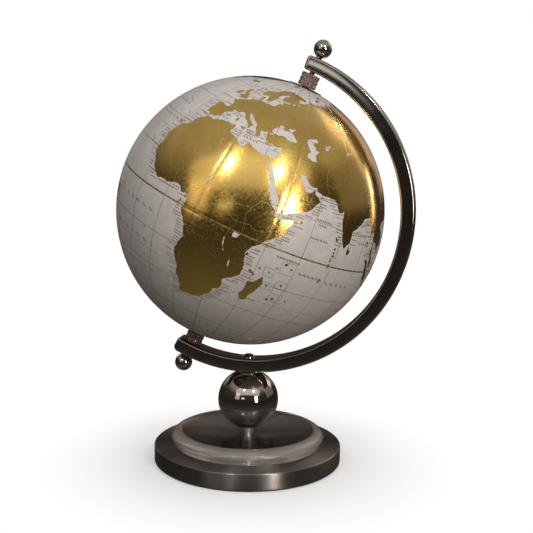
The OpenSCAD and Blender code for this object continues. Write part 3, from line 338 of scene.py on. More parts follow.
def make_materials():
    """Every material by a short key, which the pieces below use."""
    m = {}
    m["foil"] = gold_foil()
    m["paper"] = textured(
        "map_paper", ((0.56, 0.53, 0.52), (0.62, 0.595, 0.585)), 220, (0.36, 0.44),
        [(90, 0.00012, 2), (1500, 0.000012, 2)])
    m["ink"] = textured(
        "map_ink", ((0.11, 0.07, 0.028), (0.18, 0.12, 0.05)), 600, (0.4, 0.5), [(1500, 0.00001, 2)])
    m["print"] = textured(
        "land_print", ((0.5, 0.36, 0.1), (0.6, 0.43, 0.12)), 600, (0.42, 0.55), [(1500, 0.00001, 2)],
        Metallic=1.0)
    m["tape"] = textured(
        "gold_tape", ((0.16, 0.1, 0.03), (0.42, 0.29, 0.1)), 500, (0.35, 0.5), [(1200, 0.00002, 2)],
        Metallic=0.4)
    m["arm"] = textured(
        "arm_nickel", ((0.33, 0.31, 0.29), (0.40, 0.375, 0.35)), 70, (0.09, 0.15), [(1400, 0.000004, 3)],
        Metallic=1.0)
    m["mirror"] = textured(
        "mirror_nickel", ((0.44, 0.41, 0.375), (0.5, 0.47, 0.43)), 90, (0.03, 0.06), [(500, 0.000003, 2)],
        Metallic=1.0)
    m["bright"] = textured(
        "bright_nickel", ((0.5, 0.48, 0.46), (0.6, 0.58, 0.56)), 150, (0.14, 0.24), [(1200, 0.00001, 2)],
        Metallic=1.0)
    m["steel"] = textured(
        "steel_rod", ((0.2, 0.19, 0.19), (0.34, 0.33, 0.32)), 400, (0.25, 0.4), [(1500, 0.00001, 2)],
        Metallic=1.0)
    m["zinc"] = textured(
        "zinc_steel", ((0.42, 0.42, 0.44), (0.62, 0.62, 0.64)), 300, (0.3, 0.45), [(900, 0.00002, 3)],
        Metallic=1.0)
    m["iron"] = textured(
        "cast_iron", ((0.06, 0.06, 0.065), (0.12, 0.12, 0.125)), 250, (0.6, 0.8), [(500, 0.0002, 4)],
        Metallic=0.6)
    m["felt"] = textured(
        "felt", ((0.012, 0.012, 0.014), (0.04, 0.04, 0.045)), 700, (0.9, 1.0), [(1600, 0.0004, 4)],
        Sheen_Weight=0.3)
    m["board"] = textured(
        "shell_board", ((0.55, 0.52, 0.47), (0.66, 0.63, 0.58)), 200, (0.6, 0.75), [(700, 0.0001, 3)])
    m["hoop"] = textured(
        "hoop_board", ((0.3, 0.22, 0.13), (0.42, 0.32, 0.2)), 300, (0.7, 0.85), [(700, 0.0001, 3)])
    m["bush"] = textured(
        "bush_plastic", ((0.03, 0.027, 0.025), (0.06, 0.055, 0.05)), 300, (0.4, 0.5), [(900, 0.00003, 2)])
    # Pole plates: nickel painted much darker than the bright nickel, as painted shade for the dark shadow
    # and reflections round each pole
    m["cap"] = textured(
        "pole_nickel_painted_shade", ((0.12, 0.115, 0.1), (0.18, 0.17, 0.15)), 200, (0.25, 0.36), [(900, 0.00002, 2)],
        Metallic=1.0)
    m["clear_edge"] = textured(
        "clear_acrylic_edge", ((0.8, 0.75, 0.72), (0.88, 0.83, 0.8)), 90, (0.16, 0.26),
        [(90, 0.00004, 2)],
        Transmission_Weight=0.8, IOR=1.49)
    m["clear"] = textured(
        "clear_acrylic", ((0.93, 0.90, 0.90), (0.97, 0.945, 0.94)), 60, (0.09, 0.15), [(60, 0.00002, 2)],
        Transmission_Weight=1.0, IOR=1.49)
    m["sleeve"] = textured(
        "violet_plastic", ((0.72, 0.55, 0.58), (0.82, 0.66, 0.69)), 260, (0.03, 0.06),
        [(500, 0.000002, 2)],
        Transmission_Weight=0.85, IOR=1.4)
    m["core"] = textured(
        "sleeve_core", ((0.24, 0.08, 0.055), (0.36, 0.13, 0.09)), 300, (0.4, 0.6), [(900, 0.00003, 2)])
    m["foot"] = foot_nickel()
    return m


def gold_foil():
    """Hot-stamped foil: broad shallow creases, with a fine grain that spreads each highlight."""
    material, nodes, links, shader = new_material("gold_foil", {
        "Metallic": 1.0, "Anisotropic": 0.6,
        "Coat Weight": 1.0, "Coat IOR": 1.38, "Coat Roughness": 0.22,
    })
    place = nodes.new("ShaderNodeTexCoord").outputs["Object"]
    broad = add_noise(nodes, links, place, 45)
    grain = add_noise(nodes, links, place, 650, 4.0, 0.6)
    tones = ((0.67, 0.435, 0.098), (0.79, 0.54, 0.135))
    links.new(blend_tones(nodes, links, broad, tones), shader.inputs["Base Color"])
    links.new(span(nodes, links, grain, 0.12, 0.3), shader.inputs["Roughness"])
    creases = add_noise(nodes, links, place, 60, 2.0)
    bumped(nodes, links, [(creases, 0.00008), (grain, 0.000012)], shader.inputs["Normal"])
    north = nodes.new("ShaderNodeCombineXYZ")
    for name, value in zip("XYZ", AXIS):
        north.inputs[name].default_value = value
    links.new(north.outputs["Vector"], shader.inputs["Tangent"])
    return material


def foot_nickel():
    """Dark satin nickel, brushed in circles round the foot's centre."""
    material, nodes, links, shader = new_material(
        "foot_nickel", {"Metallic": 1.0, "Anisotropic": 0.97, "Anisotropic Rotation": 0.25})
    tangent = nodes.new("ShaderNodeTangent")
    tangent.direction_type = "RADIAL"
    tangent.axis = "Z"
    links.new(tangent.outputs["Tangent"], shader.inputs["Tangent"])
    place = nodes.new("ShaderNodeTexCoord").outputs["Object"]
    parts = nodes.new("ShaderNodeSeparateXYZ")
    links.new(place, parts.inputs["Vector"])
    squares = []
    for axis in ("X", "Y"):
        squares.append(combined(nodes, links, "MULTIPLY", parts.outputs[axis], parts.outputs[axis]))
    radius = combined(nodes, links, "SQRT", combined(nodes, links, "ADD", *squares))
    rings = nodes.new("ShaderNodeCombineXYZ")
    links.new(radius, rings.inputs["X"])
    links.new(parts.outputs["Z"], rings.inputs["Z"])
    brushed = add_noise(nodes, links, rings.outputs["Vector"], 4000, 2.0)
    wander = add_noise(nodes, links, place, 45)
    tones = ((0.22, 0.205, 0.19), (0.28, 0.26, 0.245))
    links.new(blend_tones(nodes, links, wander, tones), shader.inputs["Base Color"])
    links.new(span(nodes, links, wander, 0.33, 0.38), shader.inputs["Roughness"])
    bumped(nodes, links, [(brushed, 0.0000006)], shader.inputs["Normal"])
    return material


# ---- Mesh helpers ----

ON_AXIS = 1e-9           # a radius in metres below which a point is on the axis
SHARP_DEG = 35           # edges of a turned piece that bend more than this are sharp
ARM_SHARP_DEG = 40       # the same for the arm


def add_object(name, data):
    """Adds a mesh, a light or a camera to the scene as an object."""
    obj = bpy.data.objects.new(name, data)
    bpy.context.scene.collection.objects.link(obj)
    return obj


def piece(name, mesh, body, slot, *nodes):
    """Adds a mesh as a piece that rides on a body and stands for CAD nodes. The slot is not used."""
    obj = add_object(name, mesh)
    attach(obj, body)
    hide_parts(*nodes)
    return obj


def smooth_mesh(name, verts, faces, material, sharp_deg=SHARP_DEG):
    """Mesh of one material that is smooth apart from its sharp edges."""
    mesh = bpy.data.meshes.new(name)
    mesh.from_pydata(verts, [], faces)
    mesh.materials.append(material)
    mesh.shade_smooth()
    mesh.set_sharp_from_angle(angle=math.radians(sharp_deg))
    return mesh


def lathe(name, profile, place, material, sides, closed=False):
    """Turns a profile of (radius, height) points in metres round +Z and moves it to its place.

    An end on the axis closes with a fan; a closed profile joins its last point to its first.
    """
    verts, rings = [], []
    for r, z in profile:
        if r < ON_AXIS:
            rings.append([len(verts)] * sides)
            verts.append((0, 0, z))
        else:
            rings.append(list(range(len(verts), len(verts) + sides)))
            for k in range(sides):
                a = math.tau * k / sides
                verts.append((r * math.cos(a), r * math.sin(a), z))
    faces = []
    pairs = list(zip(rings, rings[1:]))
    if closed:
        pairs.append((rings[-1], rings[0]))
    for low, high in pairs:
        for k in range(sides):
            n = (k + 1) % sides
            corners = []
            for corner in (low[k], low[n], high[n], high[k]):
                if corner not in corners:
                    corners.append(corner)
            faces.append(corners)
    return smooth_mesh(name, [place @ Vector(v) for v in verts], faces, material)


def arc(cx, cy, r, start, end, steps):
    """Points of a circular arc in a profile, angles in degrees."""
    points = []
    for i in range(steps + 1):
        a = math.radians(start + (end - start) * i / steps)
        points.append((cx + r * math.cos(a), cy + r * math.sin(a)))
    return points


def scaled(points):
    """Profile points in metres, from millimetres."""
    return [(r * MM, z * MM) for r, z in points]


def turned(name, profile, place, material, sides, body, slot, node, closed=True):
    """Adds a piece turned from a profile in millimetres, which stands for one CAD node."""
    return piece(name, lathe(name, scaled(profile), place, material, sides, closed), body, slot, node)


# ---- The printed map ----

NEAR_POLE_LAT = 85       # coasts nearer to a pole than this stay as drawn
MAP_SEED = 12
MAINLAND_POINTS = 60     # land outlines with more points than this get marks along their coasts


def rings_of(text):
    """Rings of (longitude, latitude) from one of the blocks above."""
    return [[tuple(float(v) for v in p.split(",")) for p in ring.split()] for ring in text.split(";")]


def roughened(ring, dice, closed=True, reach=0.13, shortest=1.1):
    """Breaks long straight stretches of a coast into small bends by midpoint displacement.

    reach is the largest bend as a share of the stretch, shortest the stretch in degrees that stays.
    """
    points = ring + ring[:1] if closed else list(ring)
    done = [points[0]]
    for a, b in zip(points, points[1:]):
        stack = [(a, b)]
        while stack:
            p, q = stack.pop()
            dx, dy = q[0] - p[0], q[1] - p[1]
            length = math.hypot(dx * math.cos(math.radians(p[1])), dy)
            if length < shortest or abs(p[1]) > NEAR_POLE_LAT:
                done.append(q)
                continue
            bend = dice.uniform(-reach, reach)
            mid = ((p[0] + q[0]) / 2 - dy * bend, (p[1] + q[1]) / 2 + dx * bend)
            stack.append((mid, q))
            stack.append((p, mid))
    return done[:-1] if closed else done


def shifted_copies(rings):
    """The rings, and their copies one turn to the east and west."""
    return [[(x + turn, y) for x, y in ring] for turn in (0, -360, 360) for ring in rings]


def inside(points, ring):
    """Even-odd test of many points against one ring of an array of corners."""
    low, high = ring.min(0), ring.max(0)
    near = np.all((points >= low) & (points <= high), axis=1)
    hit = np.zeros(len(points), bool)
    if not near.any():
        return hit
    x, y = points[near, 0][:, None], points[near, 1][:, None]
    x0, y0 = ring[:, 0], ring[:, 1]
    x1, y1 = np.roll(x0, -1), np.roll(y0, -1)
    spans = (y0 > y) != (y1 > y)
    rise = np.where(y1 == y0, 1e-12, y1 - y0)
    crosses = spans & (x < (x1 - x0) * (y - y0) / rise + x0)
    hit[near] = crosses.sum(1) % 2 == 1
    return hit


def inside_any(points, rings):
    """Whether each point is in at least one of the rings."""
    hit = np.zeros(len(points), bool)
    for ring in rings:
        hit |= inside(points, ring)
    return hit


def dash(lon, lat, dlon, dlat, width):
    """Quad along a short straight line, width in millimetres on the ball."""
    squeeze = math.cos(math.radians(lat + dlat / 2))
    along = math.hypot(dlon * squeeze, dlat)
    side = width / 2 / MM_PER_DEG / along
    ox, oy = -dlat * side / squeeze, dlon * squeeze * side
    return [(lon + ox, lat + oy), (lon - ox, lat - oy),
            (lon + dlon - ox, lat + dlat - oy), (lon + dlon + ox, lat + dlat + oy)]


def dashes_along(points, width):
    """A quad along each stretch of a line."""
    return [dash(*a, b[0] - a[0], b[1] - a[1], width) for a, b in zip(points, points[1:])]


# Widths of the printed lines in millimetres
LINE_W = 0.34
FINE_W = 0.28
BORDER_W = 0.26
MARK_W = 0.68
BAND_STEP = 2.5          # longest straight stretch of a long line, in degrees


def meridian_band(lon, low, high, width):
    """Strip of constant real width along a meridian."""
    lats = np.linspace(low, high, max(2, int(abs(high - low) / BAND_STEP) + 1))
    half = [width / 2 / MM_PER_DEG / math.cos(math.radians(lat)) for lat in lats]
    left = [(lon - h, lat) for h, lat in zip(half, lats)]
    right = [(lon + h, lat) for h, lat in zip(half, lats)]
    return left + right[::-1]


def parallel_band(lat, west, east, width):
    """Strip of constant real width along a parallel."""
    half = width / 2 / MM_PER_DEG
    lons = np.linspace(west, east, max(2, int((east - west) / BAND_STEP) + 1))
    return [(lon, lat - half) for lon in lons] + [(lon, lat + half) for lon in lons[::-1]]


def graticule():
    """Net of lines every 15 degrees, and the broken lines of the tropics and polar circles."""
    bands = []
    for lon in range(-180, 180, 15):
        bands.append(meridian_band(lon, -84, 84, LINE_W))
    for lat in range(-75, 90, 15):
        if lat:
            for west in range(-180, 180, 30):
                bands.append(parallel_band(lat, west, west + 30, LINE_W))
    pitch, bit = 2.4, 1.4
    for lat in (-66.5, -23.5, 23.5, 66.5):
        for step in range(150):
            west = -180 + step * pitch
            bands.append(parallel_band(lat, west, west + bit, FINE_W))
    return bands


# Small islands: longitude, latitude and radius in degrees
ISLETS = """
    -28,38.6,0.5 -25.5,37.8,0.5 -17,32.8,0.5 -16.5,28.3,0.6 -15.3,28.1,0.5 -13.9,28.5,0.5
    -24.3,16.8,0.5 -23.5,15.1,0.5 -22.9,16.2,0.4 6.7,0.3,0.4 7.4,1.6,0.4 8.7,3.5,0.5 -14.4,-7.9,0.4
    -5.7,-15.9,0.4 39.7,-5.9,0.5 39.4,-6.3,0.4 43.3,-11.7,0.6 44.3,-12.2,0.5 45.2,-12.8,0.5
    55.5,-4.6,0.6 55.9,-4.3,0.4 52.8,-7.1,0.4 46.4,-9.4,0.4 57.6,-20.3,0.7 55.5,-21.1,0.7
    63.4,-19.7,0.4 54,12.5,0.9 73.1,7,0.5 73.2,5.5,0.5 73.4,4.2,0.6 72.9,3,0.4 73,2.2,0.5 73.2,0.4,0.5
    73.1,-0.7,0.45 72.4,-6.3,0.5 72.2,-7.3,0.6 72.6,10.6,0.6 73.2,12,0.4 72,11.3,0.4 50.5,-9.7,0.45
    57.8,-13.4,0.6 52.2,-15.6,0.45 58.4,-5.8,0.45 92.8,12.5,0.6 92.9,10.8,0.4 93.8,7,0.4 39.7,15.8,0.4
    42,16.8,0.4 50.6,26,0.3 77.5,-37.8,0.4 69.5,-49.3,0.9 51.8,-46.4,0.4 37.8,-46.9,0.4 -12.3,-37.1,0.4
    -9.9,-40.3,0.3 -59,-51.7,1 -36.5,-54.4,0.8 -155.5,19.6,0.7 -157.9,21.5,0.4 178,-17.8,0.8
    165.5,-21.3,0.9 167,-15.5,0.6 160,-9.6,0.7 -61,14.6,0.4 -66.4,18.2,0.6 -77.3,18.1,0.7
    -178.5,-18.5,0.4 -149.5,-17.6,0.5 14.4,35.9,0.3 2.9,39.6,0.5 4.2,40,0.3 1.4,38.9,0.3 28.1,36.2,0.4
    25.5,37,0.3 26.1,38.4,0.3 25.2,39.2,0.3
"""

# Inset frames round island groups, each a rectangle: west, south, east, north
INSETS = (
    (48.4, -11.7, 52.5, -8), (54, -8.5, 60, -3.5), (55.5, -15.2, 60.5, -11.8),
    (49.5, -17, 55.3, -14), (55.5, -21.3, 61, -17.6),
)


def islet_rings():
    """A seven-sided ring for each small island."""
    rings = []
    for word in ISLETS.split():
        lon, lat, r = (float(v) for v in word.split(","))
        squeeze = math.cos(math.radians(lat))
        corners = [math.tau * k / 7 + lon for k in range(7)]
        rings.append([(lon + r * math.cos(a) / squeeze, lat + r * math.sin(a)) for a in corners])
    return rings


def inset_frames():
    """Thin lines round the island groups."""
    bands = []
    for west, south, east, north in INSETS:
        corners = [(west, south), (east, south), (east, north), (west, north), (west, south)]
        bands += dashes_along(corners, FINE_W)
    return bands


def wave_marks(lon, lat, count, step, size):
    """Row of small wave marks that stands in for the name of a sea."""
    bands = []
    for k in range(count):
        x = lon + k * step
        crest = [(x + 0.26 * size * i, lat + 0.55 * size * math.sin(i * math.tau / 6)) for i in range(7)]
        bands += dashes_along(crest, MARK_W)
    return bands


# Rows of wave marks: west end, latitude, number, spacing in degrees and size
SEA_ROWS = (
    (-23, -8, 5, 4.4, 1), (-33, -21, 8, 4.6, 1), (-18, -33, 5, 4.6, 1), (62, -6.4, 6, 2, 0.9),
    (76, -7.2, 5, 3.2, 0.9), (60.4, 8.6, 6, 1.4, 0.6), (60.4, 15.8, 6, 1.3, 0.6),
    (62, 14, 3, 1.3, 0.6), (50.5, -2.6, 8, 1.3, 0.6), (-40, 36, 5, 3.6, 1), (-44, 28, 8, 3.8, 1),
    (84, 14.5, 3, 2.4, 0.8), (86, 11.5, 5, 1.8, 0.8), (17, 34.6, 5, 1.6, 0.6), (-150, 20, 6, 4, 1),
    (-170, 6, 8, 4, 1), (-130, -24, 8, 4, 1), (150, 25, 6, 4, 1), (20, -55, 9, 5, 1),
    (-10, 62, 4, 4, 1), (160, -45, 6, 4, 1), (-90, -45, 7, 4, 1), (-14, 48.5, 4, 2.2, 0.7),
    (44, -24, 5, 1.5, 0.6),
)


def coast_marks(coasts, land, dice):
    """Short broken rows just off the coasts, in place of the names of harbours and capes."""
    apart, highest_lat, off_coast, gap = 1.9, 70, 0.6, 0.16
    marks = []
    for ring in coasts:
        walked = 0.0
        for a, b in zip(ring, ring[1:]):
            squeeze = math.cos(math.radians(a[1]))
            walked += math.hypot((b[0] - a[0]) * squeeze, b[1] - a[1])
            if walked < apart or abs(a[1]) > highest_lat:
                continue
            walked = dice.uniform(-1.0, 0.5)
            for side in (-1, 1):
                length = dice.uniform(1.8, 3.8)
                west = a[0] + (off_coast if side > 0 else -off_coast - length) / squeeze
                for row in (a[1], a[1] - 1)[:dice.choice((1, 2, 2))]:
                    probe = []
                    for share in range(5):
                        x = west + length * share / squeeze / 4
                        probe += [(x, row - 0.4), (x, row + 0.4)]
                    if inside_any(np.array(probe), land).any():
                        continue
                    x = 0.0
                    while x < length:
                        bit = dice.uniform(0.3, 0.7)
                        marks.append(dash(west + x / squeeze, row, bit / squeeze, 0, MARK_W))
                        x += bit + gap
    return marks


def make_map():
    """Everything printed on the ball, as rings and quads in degrees."""
    dice = random.Random(MAP_SEED)
    land = [roughened(ring, dice) for ring in rings_of(CONTINENTS)]
    lakes = [roughened(ring, dice, reach=0.1) for ring in rings_of(LAKES)]
    borders = [roughened(line, dice, closed=False, reach=0.08) for line in rings_of(BORDERS)]
    solid_land = [np.array(ring) for ring in shifted_copies(land)]
    coasts = [ring for ring in land if len(ring) > MAINLAND_POINTS]
    marks = coast_marks(coasts, solid_land, dice)
    for row in SEA_ROWS:
        marks += wave_marks(*row)
    return {
        "land": shifted_copies(land + islet_rings()),
        "lakes": shifted_copies(lakes),
        "inks": shifted_copies(graticule() + marks + inset_frames()),
        "lines": shifted_copies([quad for line in borders for quad in dashes_along(line, BORDER_W)]),
    }


def near_box(ring, low, high):
    """Whether a ring's own box meets a box."""
    return np.all(ring.max(0) >= low) and np.all(ring.min(0) <= high)


class Sheet:
    """Outline, grid and printed shapes of one paper, collected in its own flat coordinates."""

    def __init__(self, outlines, low, high):
        self.verts, self.index, self.edges = [], {}, []
        self.low, self.high = np.array(low), np.array(high)
        for outline in outlines:
            self.ring(outline)

    def vert(self, point):
        """Number of the vertex at a point, which is added if it is new."""
        key = (round(point[0], 5), round(point[1], 5))
        if key not in self.index:
            self.index[key] = len(self.verts)
            self.verts.append(Vector(key))
        return self.index[key]

    def ring(self, points):
        """Adds the edges of a ring that come near the paper."""
        points = np.asarray(points)
        nexts = np.roll(points, -1, axis=0)
        below, above = np.minimum(points, nexts), np.maximum(points, nexts)
        near = np.all((above >= self.low) & (below <= self.high), axis=1)
        for i in np.nonzero(near)[0]:
            a, b = self.vert(points[i]), self.vert(nexts[i])
            if a != b:
                self.edges.append((a, b))

    def triangles(self):
        """Corners and triangles of the paper, with every edge kept."""
        points, _, faces, _, _, _ = geometry.delaunay_2d_cdt(self.verts, self.edges, [], 0, 1e-6, True)
        return np.array([tuple(p) for p in points]), np.array(faces)


DIP = 0.09                                 # depth in millimetres of a paper's edge at a seam
DEEPEST_DIP = DIP * 1.2                    # where two seams meet
DIP_W = 1.3                                # millimetres over which the paper rises from a seam
SEAM_COLUMNS = (0.35, 0.8, 1.4, 2.2, 3.4)  # millimetres from a seam at which a paper bends
CELL = 2.5                                 # degrees between the rows of a paper's grid
SLOTS = ("foil", "paper", "ink", "print")  # materials of a paper, in the order of its slots


def gore_dip(lon, lat, middle, sign):
    """Depth in millimetres by which the paper sinks at its edges, and its slope to the east and north."""
    squeeze = np.cos(np.radians(lat))
    depth, east, north = np.zeros(len(lon)), np.zeros(len(lon)), np.zeros(len(lon))
    for away, d_east, d_north in (
        ((GORE_STEP / 2 - (lon - middle)) * squeeze, -1, 0),
        ((GORE_STEP / 2 + (lon - middle)) * squeeze, 1, 0),
        (np.abs(lat) - GORE_LOW_LAT, 0, sign),
    ):
        s = np.maximum(away, 0) * MM_PER_DEG / DIP_W
        dip = DIP * np.exp(-s * s)
        slope = -2 * s * dip / DIP_W
        depth += dip
        east += slope * d_east
        north += slope * d_north
    return np.minimum(depth, DEEPEST_DIP), east, north


def turn_of(lon):
    """Angle of a longitude round the ball's axis, in radians."""
    return np.radians(lon - FRONT_LONGITUDE - 90)


def directions(lon, lat):
    """Unit vectors from the ball's centre, in its polar frame."""
    turn, climb = turn_of(lon), np.radians(lat)
    flat = np.cos(climb)
    return np.stack((flat * np.cos(turn), flat * np.sin(turn), np.sin(climb)), 1)


def print_slots(middles, flat_map):
    """Material slot of each face, by what is printed at its middle."""
    low, high = middles.min(0), middles.max(0)
    prints = {key: [ring for ring in flat_map[key] if near_box(ring, low, high)] for key in flat_map}
    is_land = inside_any(middles, prints["land"]) & ~inside_any(middles, prints["lakes"])
    on_land = np.where(inside_any(middles, prints["lines"]), SLOTS.index("print"), SLOTS.index("foil"))
    at_sea = np.where(inside_any(middles, prints["inks"]), SLOTS.index("ink"), SLOTS.index("paper"))
    return np.where(is_land, on_land, at_sea)


def sloping_normals(lon, out, east, north):
    """Unit normals of a paper that slopes by the given amounts to the east and north."""
    turn = turn_of(lon)
    east_dir = np.stack((-np.sin(turn), np.cos(turn), np.zeros(len(turn))), 1)
    north_dir = np.cross(out, east_dir)
    normals = out + east[:, None] * east_dir + north[:, None] * north_dir
    return normals / np.linalg.norm(normals, axis=1)[:, None]


def facing_out(faces, points):
    """The triangles, each turned so that it faces away from the ball's centre."""
    corners = points[faces]
    across = np.cross(corners[:, 1] - corners[:, 0], corners[:, 2] - corners[:, 0])
    inward = np.einsum("ij,ij->i", across, corners[:, 0]) < 0
    faces[inward] = faces[inward][:, ::-1]
    return faces


def rim_walls(faces, count):
    """Quads from each outer edge that has one face to the inner edge behind it.

    count is the number of outer vertices, so vertex a has a + count behind it.
    """
    rim = {}
    for face in faces:
        for i in range(3):
            edge = (int(face[i]), int(face[(i + 1) % 3]))
            if edge[::-1] in rim:
                del rim[edge[::-1]]
            else:
                rim[edge] = True
    return [(b, a, a + count, b + count) for a, b in rim]


def build_sheet(name, sheet, to_sphere, kept, flat_map, materials, dip):
    """Cuts the printed shapes into one paper, bends it round the ball and gives each face its print.

    to_sphere turns flat points into longitude and latitude, kept tells which are on the paper, and
    dip gives the depth and slopes of the paper.
    """
    points, faces = sheet.triangles()
    middles = points[faces].mean(1)
    on_paper = kept(middles)
    faces, middles = faces[on_paper], middles[on_paper]
    used, faces = np.unique(faces, return_inverse=True)
    lon, lat = to_sphere(points[used])
    depth, east, north = dip(lon, lat)
    out = directions(lon, lat)
    radius = GLOBE_R - depth * MM
    outer, inner = out * radius[:, None], out * (radius - PAPER_T)[:, None]
    faces = facing_out(faces.reshape(-1, 3), outer)
    behind = faces[:, ::-1]
    count = len(used)
    walls = rim_walls(faces, count)

    place = np.array(POLAR)
    turn = place[:3, :3]
    verts = np.concatenate((outer, inner)) @ turn.T + place[:3, 3]
    mesh = bpy.data.meshes.new(name)
    mesh.from_pydata(verts.tolist(), [], faces.tolist() + (behind + count).tolist() + walls)
    for key in SLOTS:
        mesh.materials.append(materials[key])
    unprinted = np.full(len(faces) + len(walls), SLOTS.index("paper"))
    slots = np.concatenate((print_slots(middles, flat_map), unprinted))
    mesh.polygons.foreach_set("material_index", slots)
    mesh.polygons.foreach_set("use_smooth", np.arange(len(mesh.polygons)) < 2 * len(faces))
    normals = sloping_normals(lon, out, east, north) @ turn.T
    loops = (normals[faces.ravel()], -normals[behind.ravel()], np.zeros((4 * len(walls), 3)))
    mesh.normals_split_custom_set(np.concatenate(loops).tolist())
    return mesh


def make_gores(flat_map, materials):
    """The 24 half gores, each cut in degrees of longitude and latitude."""
    half = (GORE_STEP - SEAM_DEG) / 2
    for number in range(1, GORES + 1):
        middle = (number - 1) * GORE_STEP
        if middle > 180:
            middle -= 360
        for side, sign in (("north", 1), ("south", -1)):
            low = (middle - half, min(sign * GORE_LOW_LAT, sign * GORE_HIGH_LAT))
            high = (middle + half, max(sign * GORE_LOW_LAT, sign * GORE_HIGH_LAT))
            sheet = gore_sheet(low, high, sign)
            for key in flat_map:
                for ring in flat_map[key]:
                    if near_box(ring, sheet.low, sheet.high):
                        sheet.ring(ring)
            name = f"{side}_map_gore_{number:02d}"
            mesh = build_sheet(
                name, sheet, lambda p: (p[:, 0], p[:, 1]),
                lambda p: np.all((p > low) & (p < high), axis=1), flat_map, materials,
                lambda lon, lat: gore_dip(lon, lat, middle, sign))
            piece(name, mesh, "globe", "map_print", f"{side}_gore_{number:02d}")


def gore_sheet(low, high, sign):
    """Sheet of one half gore with its outline and the grid points of its curvature."""
    margin, first_row, columns_across, widest_seam = 0.01, 4.0, 12, 6
    lats = [GORE_LOW_LAT + d / MM_PER_DEG for d in (0, *SEAM_COLUMNS)]
    lats += list(np.arange(first_row, GORE_HIGH_LAT - 1, CELL)) + [GORE_HIGH_LAT]
    sheet = Sheet([], (low[0] - margin, low[1] - margin), (high[0] + margin, high[1] + margin))
    edge_w = [(low[0], sign * lat) for lat in lats]
    edge_e = [(high[0], sign * lat) for lat in lats]
    columns = list(np.arange(low[0], high[0] + 0.1, (high[0] - low[0]) / columns_across))[1:-1]
    top = [(lon, sign * lats[-1]) for lon in columns]
    bottom = [(lon, sign * lats[0]) for lon in columns]
    sheet.ring(edge_w + top + edge_e[::-1] + bottom[::-1])
    for lat in lats[1:-1]:
        near_seam = [mm / MM_PER_DEG / math.cos(math.radians(lat)) for mm in SEAM_COLUMNS]
        near_seam = [away for away in near_seam if away < widest_seam]
        for lon in columns + [low[0] + d for d in near_seam] + [high[0] - d for d in near_seam]:
            sheet.vert((lon, sign * lat))
    return sheet


def from_pole(rings, sign, edge):
    """The rings that reach into a round polar paper, in flat coordinates round that pole."""
    flat_rings = []
    for ring in rings:
        if (sign * ring[:, 1]).max() < CALOTTE_LAT:
            continue
        a, reach = np.radians(ring[:, 0]), 90 - sign * ring[:, 1]
        flat = np.stack((reach * np.cos(a), reach * np.sin(a)), 1)
        is_copy = abs(ring[:, 0].mean()) > 200
        if near_box(flat, (-edge, -edge), (edge, edge)) and not is_copy:
            flat_rings.append(flat)
    return flat_rings


def make_calottes(flat_map, materials):
    """The round papers over the poles, cut in degrees measured from the pole."""
    sides, spokes, hoop_step, bore = 96, 36, 2.0, 4.05
    hole = math.degrees(math.asin(bore * MM / GLOBE_R))
    edge = 90 - CALOTTE_LAT
    for side, sign in (("north", 1), ("south", -1)):
        rings = {key: from_pole(flat_map[key], sign, edge) for key in flat_map}
        circles = [[(r * math.cos(a), r * math.sin(a)) for a in np.linspace(0, math.tau, sides + 1)[:-1]]
                   for r in (hole, edge)]
        sheet = Sheet(circles, (-edge, -edge), (edge, edge))
        for r in np.arange(hole + 2, edge - 0.5, hoop_step):
            for a in np.arange(0, math.tau, math.tau / spokes):
                sheet.vert((r * math.cos(a), r * math.sin(a)))
        for key in rings:
            for ring in rings[key]:
                sheet.ring(ring)

        def to_sphere(p):
            return np.degrees(np.arctan2(p[:, 1], p[:, 0])), sign * (90 - np.hypot(p[:, 0], p[:, 1]))

        def kept(p):
            r = np.hypot(p[:, 0], p[:, 1])
            return (r > hole) & (r < edge * math.cos(math.pi / sides) + 1e-4)

        mesh = build_sheet(f"{side}_map_calotte", sheet, to_sphere, kept, rings, materials,
                           lambda lon, lat: (np.zeros(len(lon)),) * 3)
        piece(f"{side}_map_calotte", mesh, "globe", "map_print", f"{side}_calotte")


def make_globe(materials):
    """The printed ball with its equator band and pole plates."""
    flat_map = {key: [np.array(ring) for ring in rings] for key, rings in make_map().items()}
    make_gores(flat_map, materials)
    make_calottes(flat_map, materials)
    r, back, half_w, bevel = GLOBE_R / MM, 0.4, 0.5, 0.2
    tape = [(r - back, -half_w), (r + 0.02, -half_w), (r + 0.05, bevel - half_w)]
    tape += [(x, -z) for x, z in tape[::-1]]
    turned("equator_band", tape, POLAR, materials["tape"], 288, "globe", "gold_tape", "equator_tape")
    for side, place in (("north", POLAR), ("south", POLAR_SOUTH)):
        turned(f"{side}_pole_plate", pole_plate_profile(), place, materials["cap"], 96,
               "globe", "bright_nickel", f"{side}_pole_cap")


def pole_plate_profile():
    """Thin domed plate over a pole, with a rolled outer edge."""
    r = GLOBE_R / MM
    low = [(x, math.sqrt((r + 0.03) ** 2 - x * x)) for x in (4.1, 8, 12.9)]
    high = [(x, math.sqrt((r + 0.5) ** 2 - x * x)) for x in (12.7, 12.3, 10, 8, 6, 4.1)]
    return low + [(12.98, low[-1][1] + 0.2)] + high


# ---- The stand ----


def node_points(node):
    """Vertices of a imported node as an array, in millimetres from the ball's centre."""
    mesh = frame["nodes"][node].data
    flat = np.zeros(3 * len(mesh.vertices))
    mesh.vertices.foreach_get("co", flat)
    return (flat.reshape(-1, 3) - np.array(CENTRE)) / MM


def axial_span(node):
    """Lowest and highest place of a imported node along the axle, in millimetres from the ball's centre."""
    along = node_points(node) @ np.array(AXIS)
    return float(along.min()), float(along.max())


ARM_POINTS = node_points("meridian_arm")
ARM_RADII = np.hypot(ARM_POINTS[:, 0], ARM_POINTS[:, 2])
ARM_ANGLES = np.degrees(np.arctan2(ARM_POINTS[:, 2], ARM_POINTS[:, 0])) + math.degrees(TILT)
ARM_IN, ARM_OUT = float(ARM_RADII.min()), float(ARM_RADII.max())
ARM_HALF_W = float(ARM_POINTS[:, 1].max())


